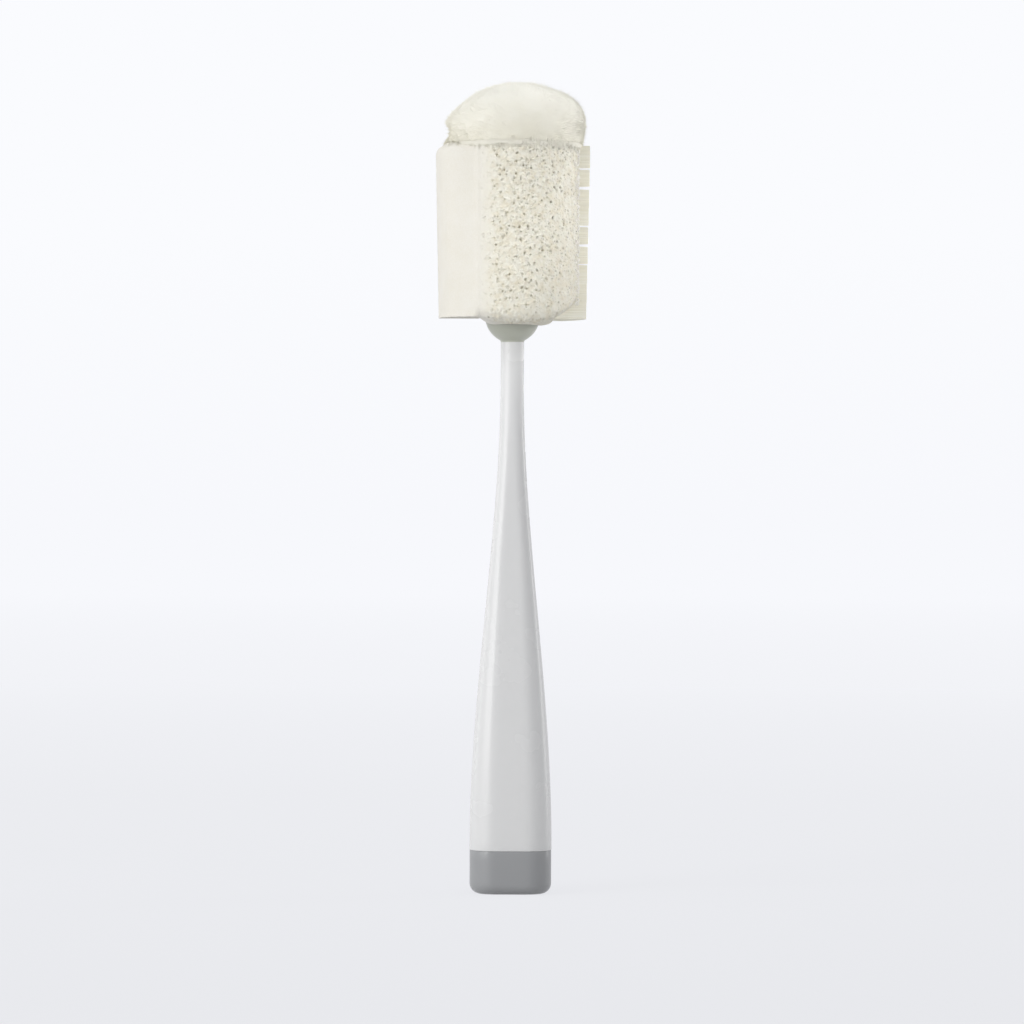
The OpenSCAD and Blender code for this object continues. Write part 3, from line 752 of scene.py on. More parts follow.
def slanted(v):
    """The tufts of the far wing are combed upwards a little towards its back."""
    x, y, z = v / MM
    ends = smooth_step((z - WING_LOW) / COMBED_ENDS) * smooth_step((WING_HIGH - z) / COMBED_ENDS)
    return Vector((x, y, z + COMBED_UP * max(0, y) * ends)) * MM

print("the near wing's top is", round(shoulder(WING_HIGH), 2), "mm in")

# %% A wing
CLOSED, SET_BACK, WORN_TIP = -0.06, 0.25, 0.8

def wing(side, material, gaps, reach=None, worn_corner=0.0):
    """`gaps` gives by how much, in mm, the tufts above and below a line between two rows are
    narrowed at their tips. The lines are counted from below, and the other ones are closed. A
    wing with a `reach` is the near, worn one."""
    bm = bmesh.new()
    bm.verts.layers.float_vector.new("spread")
    turn = Matrix.Rotation(math.pi * (side == "left"), 4, "Z") @ HEAD_UP
    rng = random.Random(side)
    for row in range(ROWS):
        kind = "lowest" if row == 0 else "highest" if row == ROWS - 1 else "middle"
        grow = WING_FLARE * row / (ROWS - 1) / WING_R
        z = FIRST_ROW_Z + row * ROW_PITCH
        under, over = gaps.get(row - 1, CLOSED), gaps.get(row, CLOSED)
        for column in (-1, 1):
            source = rng.choice(tuft_kinds[kind])
            before = len(bm.verts)
            bm.from_mesh(source)
            bm.verts.ensure_lookup_table()
            made = bm.verts[before:]
            for v in made:
                x, y, up = v.co.x / MM, v.co.y / MM, v.co.z / MM
                out = max(0, (math.hypot(x, y) - SPINE_R) / (WING_R - SPINE_R))
                squeeze = min(1, out) ** 1.5 * (over if up > 0 else under) / HALF_ROW
                if kind == "lowest" and up < 0:
                    squeeze = 0
                if kind == "highest" and up > 0:
                    a = column * math.degrees(math.atan2(y, x))
                    squeeze = worn_corner * corner_wear(a)
                    squeeze *= smooth_step((out - WORN_TIP) / 0.2)
                    squeeze *= (up / HIGHEST) ** 2
                x, y = x * (1 + grow * out), y * (1 + grow * out)
                if column > 0 and reach:
                    x, y = worn_tips(x, y, WING_R * (1 + grow), reach)
                if reach:
                    inward = (shoulder(z + up) + SET_BACK) * min(1, out) ** 4
                    keep = 1 - inward / math.hypot(x, y)
                    x, y = x * keep, y * keep
                v.co = Vector((x, column * y, z + up * (1 - squeeze))) * MM
            if column < 0:
                faces = list({f for v in made for f in v.link_faces})
                bmesh.ops.reverse_faces(bm, faces=faces)
    bmesh.ops.transform(bm, matrix=turn, verts=bm.verts)
    if reach:
        felted_face(bm, reach, worn_corner)
    else:
        for v in bm.verts:
            v.co = slanted(v.co)
    nodes = ["wing_" + side + "_" + str(r) + c for r in range(1, ROWS + 1) for c in "ab"]
    return add_piece("wing_" + side, bm, material, nodes, crease=50)

# %% [markdown]
# ## The felted face
# Washed and brushed over, the cut ends of the near wing have felted into one smooth sheet, which
# runs on to the sponge and thins out there along a ragged line. More and finer strands could
# show it, but what shows is one surface and no longer its strands. So it is a thin closed sheet
# that follows the worn tips.

# %% The felted face of the near wing
FELT_FROM, FELT_OVER, FELT_TO, FELT_THICK, FELT_FOOT = -24.3, 68.3, 44, 0.4, 4.5
FELT_START, FELT_PACE, FELT_EDGE, FELT_SINK = 31.5, 0.7, 27, 0.6

def felt_place(a, z, reach):
    """Radius and angle of a place on the felt at the height z: `a` goes from the wing's back
    edge, -24 degrees, to its front edge at 24, and on over the sponge to FELT_TO."""
    share = max(0, min(1, (z - FIRST_ROW_Z) / ROW_PITCH / (ROWS - 1)))
    tips = WING_R + WING_FLARE * share
    if a <= 24:
        edge = math.radians(a)
        x, y = worn_tips(tips * math.cos(edge), tips * math.sin(edge), tips, reach + 0.1)
        r, turned = math.hypot(x, y), math.atan2(y, x)
    else:
        r, turned = reach + 0.1, math.radians(FELT_START + (a - 24) * FELT_PACE)
    ragged = (FELT_EDGE + 3 * noise.noise(Vector((0, 0, z / 5)))
              + noise.noise(Vector((3, 0, z / 1.3))))
    r += (0.05 - FELT_SINK * smooth_step((a - ragged) / 14)
          + 0.02 * noise.noise(Vector((a / 4, 0, z / 3))))
    r -= shoulder(z) * (1 - smooth_step((a - 14) / 14))
    curve = 1 - max(0, min(1, (z - CUP_TOP_Z) / FELT_FOOT))
    r -= FELT_FOOT * (1 - math.sqrt(1 - curve * curve)) * smooth_step((a - 23) / 9)
    return r, turned

def felted_face(bm, reach, worn_corner, columns=80, rows=150):
    """Adds the felt to the near wing: two nets, one behind the other, joined at their rims."""
    turn = Matrix.Rotation(math.pi, 4, "Z") @ HEAD_UP
    part = bmesh.new()
    tag = part.verts.layers.float_vector.new("spread")
    grid = bmesh.ops.create_grid(part, x_segments=columns, y_segments=rows, size=1)["verts"]
    outer = list(part.verts) + list(part.edges) + list(part.faces)
    copied = bmesh.ops.duplicate(part, geom=outer)["vert_map"]
    for v in grid:
        a, share = FELT_FROM + FELT_OVER * (v.co.x + 1) / 2, (v.co.y + 1) / 2
        height = WING_HIGH - WING_LOW - HIGHEST * worn_corner * corner_wear(a)
        z = WING_LOW + height * share
        r, turned = felt_place(a, z, reach)
        for vert, way in ((v, r), (copied[v], r - FELT_THICK)):
            vert.co = Vector((way * math.cos(turned), way * math.sin(turned), z))
    rims = [e for e in part.edges if e.is_boundary]
    bmesh.ops.bridge_loops(part, edges=rims)
    bmesh.ops.recalc_face_normals(part, faces=part.faces)
    for v in part.verts:
        v.co = turn @ v.co * MM
        v[tag] = v.co
    mesh = bpy.data.meshes.new("felt")
    part.to_mesh(mesh)
    part.free()
    print("felted face", len(mesh.polygons), "faces, open edges", open_edges(mesh))
    bm.from_mesh(mesh)
    bpy.data.meshes.remove(mesh)

# %% The two wings
SPONGE_R = 24.5

far_wing = wing("right", far_painted_light_cream, {7: 0.3, 6: 0.6, 4: 0.32, 3: 0.5, 2: 0.26})
near_wing = wing("left", wing_cream, {}, reach=SPONGE_R, worn_corner=0.35)

# %% [markdown]
# ## The crown
# The crown is a dome of very fine, soft fibre. A noise on a plain dome would give it grain but a
# hard edge, and it is the edge that tells fibre from felt. So it is made of fibres that end at
# uneven depths. They stand on a packed dome, which keeps daylight out. The dome bulges on the
# right and has a ragged nick at the lower left, where fibres have been torn out.

# %% Shape of the dome
CROWN_Z, CROWN_H, CROWN_R, LEAN, TUCK = 276.97, 23.0, 26.4, 1.4, 1.2
SPONGE_TOP = 276.67
SQUARE, FULLNESS = 2.5, 0.4
NICK_Z, NICK_H, NICK_IN, NICK_WIDE = 280.9, 2.4, 3.3, 17
SWELL_Z, SWELL_H, SWELL_OUT, SWELL_WIDE = 286.5, 4, 1.3, 26
BULGE_Z, BULGE_H, BULGE_OUT, BULGE_WIDE = 287, 6, 1.2, 40
SAG_X, SAG_WIDE, SAG_FROM, SAG = 15, 6.5, 289, 0.9

def dome(around, rise, drop=0.0):
    """A place on the dome, in mm: `around` the axis, `rise` from its rim (0) to its top. The
    dome is smaller by `drop`."""
    n = SQUARE + FULLNESS * math.cos(around + HEAD_TURN)
    tuck = TUCK * math.sin(around) ** 2 * math.cos(rise) ** 4
    h = math.sin(rise) ** (2 / n)
    r = max(0.0, math.cos(rise)) ** (2 / n)
    size = 1 - drop / CROWN_R
    r *= (CROWN_R - tuck) * size
    return Vector((r * math.cos(around) + LEAN * h * math.cos(HEAD_TURN),
                   r * math.sin(around) - LEAN * h * math.sin(HEAD_TURN),
                   CROWN_Z + CROWN_H * size * h))

def dome_rises(count):
    """Crown angles that give rings of about equal width up the dome."""
    steps = [math.pi / 2 * (i / 600) ** 1.5 for i in range(601)]
    path, last = [0.0], dome(0, 0)
    for s in steps[1:]:
        here = dome(0, s)
        path.append(path[-1] + (here - last).length)
        last = here
    picked, k = [], 0
    for i in range(count):
        want = path[-1] * (i + 0.5) / count
        while path[k + 1] < want:
            k += 1
        picked.append((steps[k] + steps[k + 1]) / 2)
    return picked, path[-1]

def nick(p):
    """How far the dome is drawn in at a place, in mm: a ragged nick low on its left, under a
    part that swells out a little."""
    side = math.degrees(math.atan2(p.y, -p.x))
    ragged = 0.9 * noise.noise(Vector((side * 0.05, p.z * 0.9, 3.0)))
    inward = NICK_IN * math.exp(-((p.z - NICK_Z) / NICK_H) ** 2 * (1 + ragged)) * (1 + ragged)
    swell = SWELL_OUT * math.exp(-((p.z - SWELL_Z) / SWELL_H) ** 2)
    return (inward * math.exp(-((side - 1) / NICK_WIDE) ** 2)
            - swell * math.exp(-((side + 4) / SWELL_WIDE) ** 2))

print("dome rings", len(dome_rises(60)[0]), "path", round(dome_rises(60)[1], 1))

# %% The crown's packed inside
def in_head(p):
    """Turns a place on the dome with the head, draws it in at the nick, lets it bulge on its
    right side and slope a little more above that."""
    p = HEAD_UP @ p
    flat = math.hypot(p.x, p.y)
    if flat > 10:
        right = math.degrees(math.atan2(p.y, p.x))
        bulge = (BULGE_OUT * math.exp(-((p.z - BULGE_Z) / BULGE_H) ** 2)
                 * math.exp(-(right / BULGE_WIDE) ** 2))
        keep = 1 - (nick(p) - bulge) / flat
        p = Vector((p.x * keep, p.y * keep, p.z))
    sag = SAG * math.exp(-((p.x - SAG_X) / SAG_WIDE) ** 2) * smooth_step((p.z - SAG_FROM) / 7)
    return Vector((p.x, p.y, p.z - sag))

LIP_R, LIP_RINGS, LIP_H, LIP_TURN_IN, DOME_RINGS = 24.62, 7, 2.2, 0.55, 64

def ragged_at(a, fineness, height):
    """A noise that runs once round the axis without a seam."""
    return noise.noise(Vector((fineness * math.cos(a), fineness * math.sin(a), height)))

def crown_inside(bm, tag, around=132, drop=0.8):
    """The dome under the fibres. Its first rings are a ragged lip that hangs over the edge of
    the sponges, so that the two soft parts run into each other."""
    sections = []
    for k in range(LIP_RINGS):
        ring, share = [], 1 - k / LIP_RINGS
        for i in range(around):
            a = 2 * math.pi * i / around
            down = share * (LIP_H + 1.6 * ragged_at(a, 9, 0) + 0.8 * ragged_at(a, 30, 5))
            p = dome(a, 0, drop)
            flat = math.hypot(p.x, p.y)
            r = flat + (LIP_R - flat) * share - LIP_TURN_IN * smooth_step((share - 0.5) * 2)
            ring.append(in_head(Vector((p.x * r / flat, p.y * r / flat, CROWN_Z - down))) * MM)
        sections.append(ring)
    rises = [0.0] + dome_rises(DOME_RINGS)[0]
    for rise in rises:
        ring = []
        for i in range(around):
            p = dome(2 * math.pi * i / around, rise, drop)
            lump = noise.noise(p / 3.4) * 0.16 + noise.noise(p / 0.9) * 0.1
            out = (p - Vector((0, 0, CROWN_Z - 4))).normalized()
            p = p + out * lump
            ring.append(in_head(p) * MM)
        sections.append(ring)
    before = len(bm.verts)
    loft(bm, sections)
    bm.verts.ensure_lookup_table()
    for v in bm.verts[before:]:
        v[tag] = v.co

print("the dome's middle is", round(in_head(dome(0, math.pi / 2)).z, 1), "mm up")

# %% [markdown]
# ## The crown's fibres
# Hair particles would grow the fibres by themselves, but they aren't a mesh. Making each fibre
# with an operator of its own would take minutes. So the fibres of one twelfth of the dome are
# made upright and alike, in a few variants, and each carries where it belongs. The crown then
# takes twelve of these wedges and moves every fibre to its place on the dome in one pass.

# %% The crown's fibres
WEDGES, WEDGE_VARIANTS, FIBRE_PITCH, FULL_RISE = 12, 3, 0.36, math.radians(89.6)

def wedge_mesh(name, seed, pitch=FIBRE_PITCH):
    """Upright unit fibres with points, one for every place on a wedge of the dome. Each one
    carries its place: around the axis, up the dome, and a chance number for its length."""
    rng = random.Random(seed)
    bm = bmesh.new()
    tag = bm.verts.layers.float_vector.new("spread")
    rises = dome_rises(round(dome_rises(10)[1] / pitch))[0]
    arc = 2 * math.pi / WEDGES
    for rise in rises:
        radius = CROWN_R * math.cos(rise) ** (2 / SQUARE)
        count = max(1, round(arc * radius / pitch))
        for i in range(count):
            around = arc * (i + 0.5 + rng.uniform(-0.5, 0.5)) / count
            up = min(FULL_RISE, max(0.003, rise + rng.uniform(-0.5, 0.5) * pitch / 26))
            add_strand(bm, Vector((0, 0, 0)), Vector((0, 0, 1)), 1, 0,
                       Vector((around, up, rng.random())), tag)
    mesh = bpy.data.meshes.new(name)
    bm.to_mesh(mesh)
    bm.free()
    print(name, len(mesh.polygons), "faces")
    return mesh

wedges = [wedge_mesh("wedge_" + str(k), 50 + k) for k in range(WEDGE_VARIANTS)]

# %% [markdown]
# ## The fringe
# At its rim the crown's fibres hang down over the sponges, and beside the near wing some stand
# on the felt's top edge. Without them the rim would be a drawn line. They could be painted as a
# fading edge, but real threads also cast the small shadows that join the two parts. They are
# made in batches, because an operator gets slow in a mesh that has grown large.

# %% The crown's fringe
FRINGE_THICK, FRINGE_TIP, FRINGE_FROM = 0.1, 0.02, math.radians(25)
ON_FELT_FROM, ON_FELT_SHARE = 4, 0.35

def fringe(bm, batches=12, count=230):
    """Fine fibres from the dome's rim over the sponges' top edge, and up from the felt's."""
    for batch in range(batches):
        rng = random.Random(200 + batch)
        part = bmesh.new()
        tag = part.verts.layers.float_vector.new("spread")
        for i in range(count):
            around = 2 * math.pi * (batch + (i + rng.random()) / count) / batches
            a = math.degrees(around) - 180
            felted = ON_FELT_FROM < a < FELT_TO and rng.random() < ON_FELT_SHARE
            if abs(math.sin(around)) < math.sin(FRINGE_FROM) and not felted:
                continue
            start = dome(around, 0.003 + 0.05 * rng.random(), 0.9)
            drop = 0.9 + 2.8 * rng.random() ** 2
            bent = around + rng.gauss(0, 0.03)
            reach = 24.45 + 0.25 * rng.random()
            end = Vector((reach * math.cos(bent), reach * math.sin(bent), CROWN_Z - drop))
            if felted:
                foot = SPONGE_TOP - 0.2 - 1.6 * rng.random() ** 2
                tip = SPONGE_TOP + 1.5 * rng.random()
                r, turned = felt_place(a, foot, SPONGE_R)
                start = Vector((r * math.cos(turned), r * math.sin(turned), foot))
                r, turned = r - 0.3 - 0.5 * rng.random(), turned + rng.gauss(0, 0.02)
                end = Vector((r * math.cos(turned), r * math.sin(turned), tip))
                start.x, start.y, end.x, end.y = -start.x, -start.y, -end.x, -end.y
            made = add_strand(part, start, end, FRINGE_THICK, FRINGE_TIP, Vector(), tag)
            for v in made:
                v.co = in_head(v.co) * MM
                v[tag] = v.co
        mesh = bpy.data.meshes.new("fringe")
        part.to_mesh(mesh)
        part.free()
        bm.from_mesh(mesh)
        bpy.data.meshes.remove(mesh)
    print("fringe", batches * count, "fibres at most")

# %% The whole crown
FIBRE_ROOT, FIBRE_THICK, FIBRE_L, FIBRE_MOST = 1.3, 0.1, 1.0, 1.7

def fibre_frame(around, rise, luck):
    """Root, two cross directions and the run to the tip of the fibre at a place on the dome."""
    base = dome(around, rise, FIBRE_ROOT)
    across = (dome(around + 0.01, rise, FIBRE_ROOT) - base).normalized()
    up = (dome(around, rise + 0.004, FIBRE_ROOT) - base).normalized()
    out = across.cross(up).normalized()
    swirl = noise.noise_vector(base / 4.1)
    lean = (out + across * (0.25 * swirl.x) + up * (0.25 * swirl.y - 0.2)).normalized()
    length = FIBRE_L + (min(FIBRE_MOST, -0.34 * math.log(1.001 - luck))
                        * (0.8 + 0.6 * swirl.z))
    over_sponge = smooth_step((abs(math.sin(around)) - 0.3) / 0.2)
    length *= 1 - 0.1 * over_sponge * (1 - smooth_step((base.z - CROWN_Z) / 9))
    return base, across * FIBRE_THICK, up * FIBRE_THICK, lean * length

def crown():
    bm = bmesh.new()
    tag = bm.verts.layers.float_vector.new("spread")
    rng = random.Random(77)
    for wedge in range(WEDGES):
        before = len(bm.verts)
        bm.from_mesh(rng.choice(wedges))
        bm.verts.ensure_lookup_table()
        frames = {}
        for v in bm.verts[before:]:
            place = tuple(v[tag])
            if place not in frames:
                frames[place] = fibre_frame(place[0] + wedge * 2 * math.pi / WEDGES, *place[1:])
            base, across, up, run = frames[place]
            v.co = in_head(base + across * v.co.x + up * v.co.y + run * v.co.z) * MM
            v[tag] = v.co
    fringe(bm)
    crown_inside(bm, tag)
    bmesh.ops.recalc_face_normals(bm, faces=bm.faces)
    nodes = ["crown_outer_" + str(i) for i in range(1, 11)]
    nodes += ["crown_inner_" + str(i) for i in range(1, 6)] + ["crown_tip"]
    return add_piece("crown_fibre", bm, crown_white, nodes, crease=60)

crown_piece = crown()

# %% [markdown]
# ## The sponges
# Two pieces of open foam fill the space between the wings. Foam could be cut out of a solid with
# a boolean for every pore, but hundreds of cuts are slow and leave slivers. Here the skin is a
# fine net, and every vertex is pushed in as deep as the pore it lies in. The pores come from a
# Voronoi pattern, whose cells are as irregular as real bubbles. On the left the foam is worn
# smooth, where the near wing is brushed over it.

# %% Foam
LARGE_CELL, LARGE_DEEP, SMALL_CELL, SMALL_DEEP, OPEN_SHARE = 1.55, 0.95, 1.05, 0.55, 0.85
WORN_SIDE, TORN_SIDE = 60, 46

def luck_of(point, which=0.0):
    """A number from 0 to 1 that belongs to a bubble, from the middle of its cell."""
    luck = math.sin(point.x * 127.1 + point.y * 311.7 + point.z * 74.7 + which) * 437.5
    return luck - math.floor(luck)

def bubbles_at(p, cell, share, deep):
    """Depth at p, in mm, less the height of the rim round the pore, and how much of p is pore.
    Only a `share` of the cells are open, and the deepest go in by `deep`."""
    q = p / cell + noise.noise_vector(p / cell * 1.3) * 0.22
    distances, points = noise.voronoi(q)
    luck = luck_of(points[0])
    if luck > share:
        return 0.0, 0.0
    wide = 0.29 + 0.17 * luck_of(points[0], 9.0)
    hole = smooth_step(1.25 * (1 - distances[0] / wide))
    rim = math.exp(-((distances[0] - wide * 1.15) / 0.1) ** 2)
    strong = luck_of(points[0], 4.0)
    return deep * (0.5 + 0.5 * strong) * hole - 0.14 * cell * rim, hole * (0.2 + 0.8 * strong ** 3)

def foam_depth(p, seed, side):
    """How far the skin goes in at a place p, in mm, and how much of that is pore, 0 to 1. `side`
    is the angle from the middle of the sponge, in degrees. Its right edge and foot are torn."""
    density = smooth_step((side + WORN_SIDE) / 28)
    torn = smooth_step((side - TORN_SIDE) / 12)
    torn = max(torn, 1.4 * smooth_step((CUP_TOP_Z + 1.5 - p.z) / 2.5))
    shift = Vector((seed * 31.7, seed * 12.9, seed * 7.3))
    p = p + shift
    swell = noise.noise(p / 6.5) * 0.3 + noise.noise(p / 1.7) * (0.22 + 0.25 * torn)
    large, hole = bubbles_at(p, LARGE_CELL, OPEN_SHARE * density, LARGE_DEEP)
    small, dot = bubbles_at(p, SMALL_CELL, OPEN_SHARE * density, SMALL_DEEP)
    flush = smooth_step((SPONGE_TOP + shift.z - p.z) / 2.5)
    return density * flush * (0.3 - swell) + large + small, max(hole, 0.6 * dot)

print("foam", foam_depth(Vector((10, -22, 240)), 1, 20))

# %% The sponges' skins
SPONGE_GAP, SPONGE_CORNER, SPONGE_FOOT, SPONGE_BROW = 0.4, 2.0, 5.0, 0.5
NET_PITCH, QUICK_NET_PITCH, FOOT_RINGS, BEND_RINGS = 0.3, 0.6, 11, 13
LEFT_LIFT, RIGHT_LIFT, LIFT_FADE, LIFT_POWER = 2.5, 12.0, 30.0, 1.8
SPONGE_HALF = math.radians(90) - EDGE

def sponge_section(r, inner, z, arc_count, lift=0.0, corner_count=7):
    """One level: the outer arc from corner to corner, and back round the core. Faces -Y. The
    outside rises towards its two sides by the share `lift` of the two lifts."""
    e = max(0.2, min(SPONGE_CORNER, (r - inner) / 2.2))
    reach = r - e
    corner = SPONGE_HALF - math.asin((e + SPONGE_GAP) / reach)
    bore = SPONGE_HALF - math.asin(SPONGE_GAP / inner)
    def toward(a):
        return Vector((math.sin(a), -math.cos(a)))
    def on(centre, radius, a):
        return centre + radius * Vector((math.cos(a), math.sin(a)))
    ring = []
    for k in range(corner_count):
        t = k / corner_count
        ring.append(on(reach * toward(-corner), e,
                       (1 - t) * (-math.pi - SPONGE_HALF) + t * (-math.pi / 2 - corner)))
    for k in range(arc_count + 1):
        ring.append(r * toward(-corner + 2 * corner * k / arc_count))
    for k in range(1, corner_count + 1):
        t = k / corner_count
        ring.append(on(reach * toward(corner), e,
                       (1 - t) * (-math.pi / 2 + corner) + t * SPONGE_HALF))
    far, near = ring[-1], inner * toward(bore)
    ring += [far.lerp(near, k / 5) for k in range(1, 5)]
    ring += [inner * toward(bore * (1 - 2 * k / 12)) for k in range(13)]
    far, near = inner * toward(-bore), ring[0]
    ring += [far.lerp(near, k / 5) for k in range(1, 5)]
    def level(p):
        out = smooth_step((p.length - inner) / (SPONGE_R - inner) * 1.25)
        side = math.atan2(p.x, -p.y) / SPONGE_HALF
        most = RIGHT_LIFT if side > 0 else LEFT_LIFT
        return z + most * lift * out * min(1, abs(side)) ** LIFT_POWER
    return [Vector((p.x, p.y, level(p))) for p in ring]

def sponge(turn, hang, seed, edge_curls):
    """`hang` is how far it reaches below the cup's flat top; below 0 it stays above it. The
    net is made on the inside, cut up in levels, and pushed in only where it can be seen."""
    bm = bmesh.new()
    pore = bm.verts.layers.float.new("pore")
    rough = bm.verts.layers.float.new("rough")
    bm.verts.layers.float.new("pale")
    pitch = NET_PITCH
    arc = round(2 * SPONGE_HALF * SPONGE_R / pitch * 0.9)
    bore, brow, foot = SPINE_R + 0.1, SPONGE_BROW, SPONGE_FOOT
    seat, low = CUP_TOP_Z + 0.1, CUP_TOP_Z - hang
    def inside(z):
        return math.sqrt((CUP_R + 0.1)**2 - (CUP_Z - z)**2) if z < seat else bore
    def lift(z):
        return max(0.0, 1 - (z - low) / LIFT_FADE)
    first = inside(low) + 1.5 if hang > 0 else CUP_R
    under = SPONGE_R - foot
    sections = []
    for k in range(FOOT_RINGS):
        z = low if hang > 0 else seat + (low - seat) * k / FOOT_RINGS
        sections.append(sponge_section(first + (under - first) * k / FOOT_RINGS, inside(z), z,
                                       arc, k / FOOT_RINGS))
    for k in range(BEND_RINGS + 1):
        a = math.pi / 2 * k / BEND_RINGS
        z = low + foot * (1 - math.cos(a))
        sections.append(sponge_section(under + foot * math.sin(a), inside(z), z, arc, lift(z)))
    levels = round((SPONGE_TOP - brow - low - foot) / pitch)
    for k in range(1, levels + 1):
        z = low + foot + (SPONGE_TOP - brow - low - foot) * k / levels
        sections.append(sponge_section(SPONGE_R, bore, z, arc, lift(z)))
    for a in (math.pi / 6, math.pi / 3, math.pi / 2):
        sections.append(sponge_section(SPONGE_R - brow * (1 - math.cos(a)), bore,
                                       SPONGE_TOP - brow * (1 - math.sin(a)), arc))
    loft(bm, sections)
    bmesh.ops.recalc_face_normals(bm, faces=bm.faces)
    bm.normal_update()
    for v in bm.verts:
        r = math.hypot(v.co.x, v.co.y)
        free = max(0.0, min(1.0, (r - 11.5) / 3)) if v.co.z > low + 0.01 else 0.7
        if r > 11 and v.co.z < SPONGE_TOP - 0.01:
            side = math.degrees(math.atan2(v.co.x, -v.co.y))
            depth, mask = foam_depth(v.co, seed, side)
            v.co = v.co - v.normal * depth * free
            v[pore] = mask * free
            v[rough] = (smooth_step((side + WORN_SIDE) / 24)
                        * smooth_step((SPONGE_TOP + 1.5 - v.co.z) / 5))
    hooks = curls(seed, edge_curls)
    bm.from_mesh(hooks)
    bmesh.ops.recalc_face_normals(bm, faces=bm.faces)
    bpy.data.meshes.remove(hooks)
    bmesh.ops.scale(bm, vec=(MM, MM, MM), verts=bm.verts)
    bmesh.ops.transform(bm, matrix=Matrix.Rotation(HEAD_TURN + turn, 4, "Z"), verts=bm.verts)
    return bm

print("places round a sponge", len(sponge_section(SPONGE_R, SPINE_R, SPONGE_TOP, 100)))

# %% [markdown]
# ## Torn foam
# Where foam is torn, its bubble walls stand out in pale little hooks and curls, most of all
# along the sponge's right edge. The fine net could be pulled out there, but it can't turn back
# over itself. So the curls are small tubes of their own that sit in the foam's skin.

# %% Torn curls of foam
CURL_SIDES, CURL_RINGS = 5, 7
TORN_EDGE, EDGE_PALE, FACE_PALE, FACE_SUNK = 60, 0.6, 0.1, -0.4

def curl(bm, middle, along, across, size, thick, swing):
    """A little hook of foam skin: a tube along an arc, thinner at its two ends."""
    normal = along.cross(across).normalized()
    rings = []
    for k in range(CURL_RINGS):
        a = swing * (k / 6 - 0.5)
        out = (along * math.sin(a) + across * math.cos(a)).normalized()
        centre = middle + out * size - across * size * 0.6
        slim = thick * (1 - 0.85 * abs(k / 3 - 1) ** 3) * (0.85 + 0.9 * noise.noise(centre * 2.3))
        rings.append([centre + (out * math.cos(t) + normal * math.sin(t)) * slim
                      for t in [2 * math.pi * i / CURL_SIDES for i in range(CURL_SIDES)]])
    loft(bm, rings)

def curls(seed, edge_count, face_count=260):
    """Curls along the ragged right edge, and smaller ones all over the face."""
    rng = random.Random(seed)
    bm = bmesh.new()
    pale = bm.verts.layers.float.new("pale")
    for number in range(edge_count + face_count):
        on_edge = number < edge_count
        z = rng.uniform(CUP_TOP_Z + 5, SPONGE_TOP - 2)
        ragged = TORN_EDGE + 3.5 * noise.noise(Vector((seed, 0, z / 3)))
        side = ragged - abs(rng.gauss(0, 6)) if on_edge else rng.triangular(-30, 58, 50)
        side = math.radians(side)
        out = Vector((math.sin(side), -math.cos(side), 0))
        lean = Vector((rng.gauss(0, 1), rng.gauss(0, 1), rng.gauss(0, 1))).normalized()
        along = (lean - out * lean.dot(out)).normalized()
        size = rng.uniform(0.4, 1.05) if on_edge else rng.uniform(0.35, 0.8)
        thick = rng.uniform(0.14, 0.27) if on_edge else rng.uniform(0.12, 0.22)
        rise = 0.0 if on_edge else FACE_SUNK
        before = len(bm.verts)
        curl(bm, out * (SPONGE_R + rise) + Vector((0, 0, z)), along,
             (out + lean * 0.5).normalized(), size, thick, rng.uniform(2.4, 4.4))
        bm.verts.ensure_lookup_table()
        for v in bm.verts[before:]:
            v[pale] = EDGE_PALE if on_edge else FACE_PALE
    mesh = bpy.data.meshes.new("curls")
    bm.to_mesh(mesh)
    bm.free()
    print("curls", len(mesh.polygons), "faces")
    return mesh

# %% [markdown]
# ## The sponge's material
# Foam is dull and a little warm. Down in its pores it is painted darker: painted shade, which
# stands in for the shade deep in the open cells. A noise could do it, but its dark spots would
# miss the pores. So the skin carries three values, which were set while it was shaped: how much of
# a place is pore, how rough it is, and how pale, for the torn curls.

# %% The sponge's material
def foam_material(name, colour, worn_colour, pore_shade_colour, curl_colour):
    material, tree, shader = principled(name)
    place, rough = place_on(tree), carried(tree, "rough")
    cloud = ranged(tree, cloudy(tree, place, scale=420, detail=5), 0.42, 0.72)
    warm = tuple(c * k for c, k in zip(colour, (0.92, 0.88, 0.8, 1)))
    shown = mix_colours(tree, calculate(tree, "MULTIPLY", cloud, rough), colour, warm)
    shown = mix_colours(tree, rough, worn_colour, shown)
    shown = mix_colours(tree, carried(tree, "pale"), shown, curl_colour)
    # The pore mask mixes in painted shade: the foam turns darker down in its pores.
    shown = mix_colours(tree, carried(tree, "pore"), shown, pore_shade_colour)
    bubbles = add_node(tree, "TexVoronoi", {"Vector": place, "Scale": 1300}).outputs["Distance"]
    relief = calculate(tree, "MULTIPLY", bubbles, rough)
    feed(tree, shader, {"Base Color": shown, "Normal": bumped(tree, relief, 0.6, 0.28),
                        "Roughness": 0.85, "Specular IOR Level": 0.2, "Sheen Weight": 0.12})
    return material

# The third colour is the painted shade in the pores.
foam = foam_material("Sponge foam", srgb(225, 222, 209), srgb(220, 217, 207),
                     srgb(150, 140, 112), srgb(252, 250, 244))
for name, turn, hang, seed, edge_curls in (("front", 0, 2.4, 1, 170),
                                           ("back", math.pi, -1.4, 2, 50)):
    piece = add_piece("sponge_" + name + "_foam", sponge(turn, hang, seed, edge_curls), foam,
                      ["sponge_" + name])

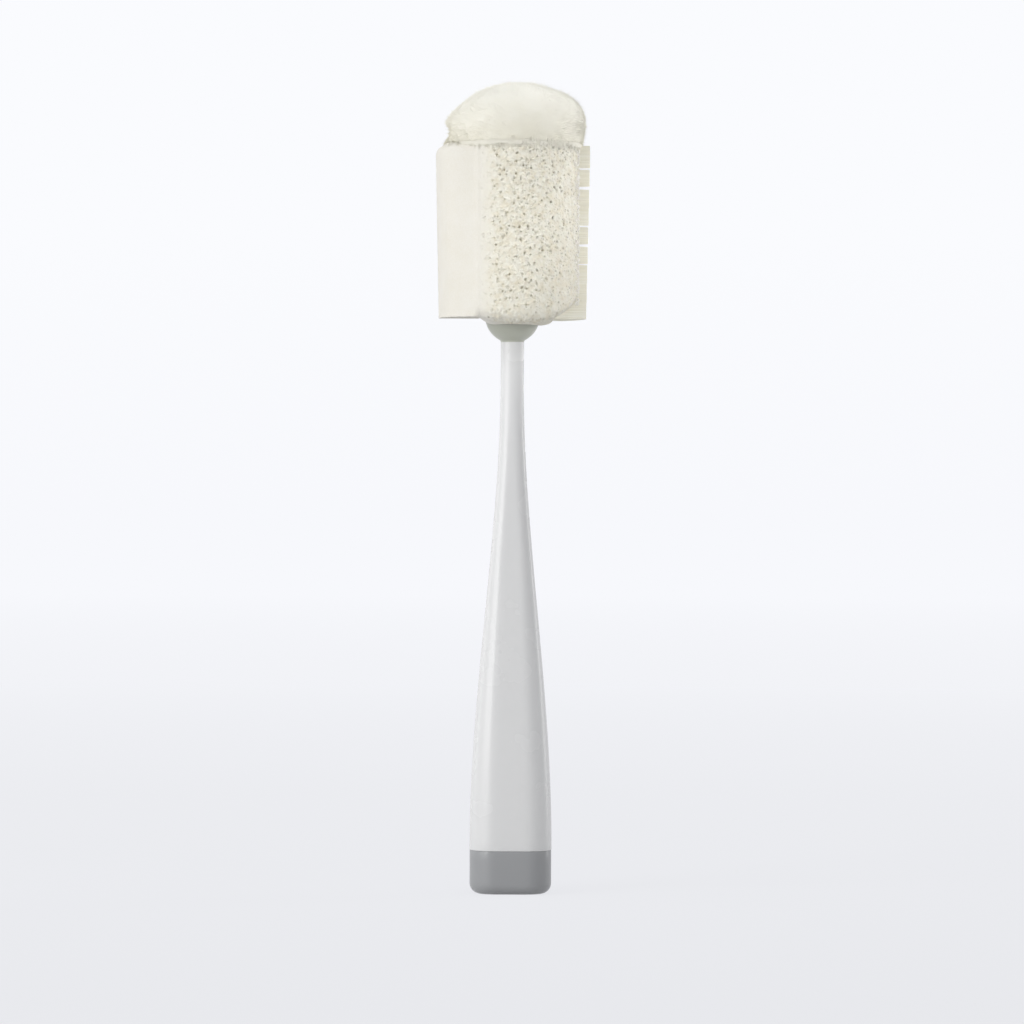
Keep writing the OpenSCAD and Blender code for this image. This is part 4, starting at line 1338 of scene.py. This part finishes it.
# %% [markdown]
# ## The floor
# The brush stands on a plain pale floor. To the camera the floor is nearly as bright as the room,
# so the two run into each other without a line, and only a trace of the shadow is left. A card
# bent up behind the object is the usual way; a wide floor in an even room needs no bend. What the
# floor shows is its own light, by its depth near the brush and by its distance further out, with
# a thin matt layer near the brush that takes the shadow. To all other rays it is plain and matt,
# and from below it is clear.

# %% Floor
NEAR, FAR = 0.6, 2
FLOOR_HALF, FLOOR_DROP, SHADOW_SHARE = 30, 0.1, 0.1

def pale_floor(stops):
    """`stops` are pairs of a distance behind the brush, in m, and the colour the floor shows."""
    bm = bmesh.new()
    bmesh.ops.create_grid(bm, x_segments=1, y_segments=1, size=FLOOR_HALF)
    bmesh.ops.translate(bm, vec=(0, 0, -FLOOR_DROP * MM), verts=bm.verts)
    mesh = bpy.data.meshes.new("floor")
    bm.to_mesh(mesh)
    bm.free()
    floor = bpy.data.objects.new("floor", mesh)
    bpy.context.collection.objects.link(floor)
    material = bpy.data.materials.new("Pale floor")
    material.use_nodes = True
    tree = material.node_tree
    tree.nodes.clear()
    place = place_on(tree)
    reach = add_node(tree, "VectorMath", {0: place}, "LENGTH").outputs["Value"]
    away = add_node(tree, "Mix", {0: ranged(tree, reach, NEAR, FAR),
                                  2: part_of(tree, place, "Y"), 3: reach}).outputs[0]
    seen = add_node(tree, "Emission", {"Color": colour_at(tree, away, stops)}).outputs[0]
    matt = add_node(tree, "BsdfDiffuse", {"Color": (0.8, 0.8, 0.81, 1)}).outputs[0]
    thin = ranged(tree, reach, NEAR, FAR, SHADOW_SHARE, 0)
    by_eye = mix_shaders(tree, seen_directly(tree), matt, mix_shaders(tree, thin, seen, matt))
    below = add_node(tree, "NewGeometry", {}).outputs["Backfacing"]
    clear = add_node(tree, "BsdfTransparent", {}).outputs[0]
    add_node(tree, "OutputMaterial", {"Surface": mix_shaders(tree, below, by_eye, clear)})
    mesh.materials.append(material)
    return floor

floor = pale_floor([(-0.5, srgb(233, 234, 238)), (-0.06, srgb(236, 237, 241)),
                    (0.9, srgb(240, 241, 245)), (6, srgb(247, 248, 252))])
print("floor", [round(side, 1) for side in floor.dimensions[:2]], "m")
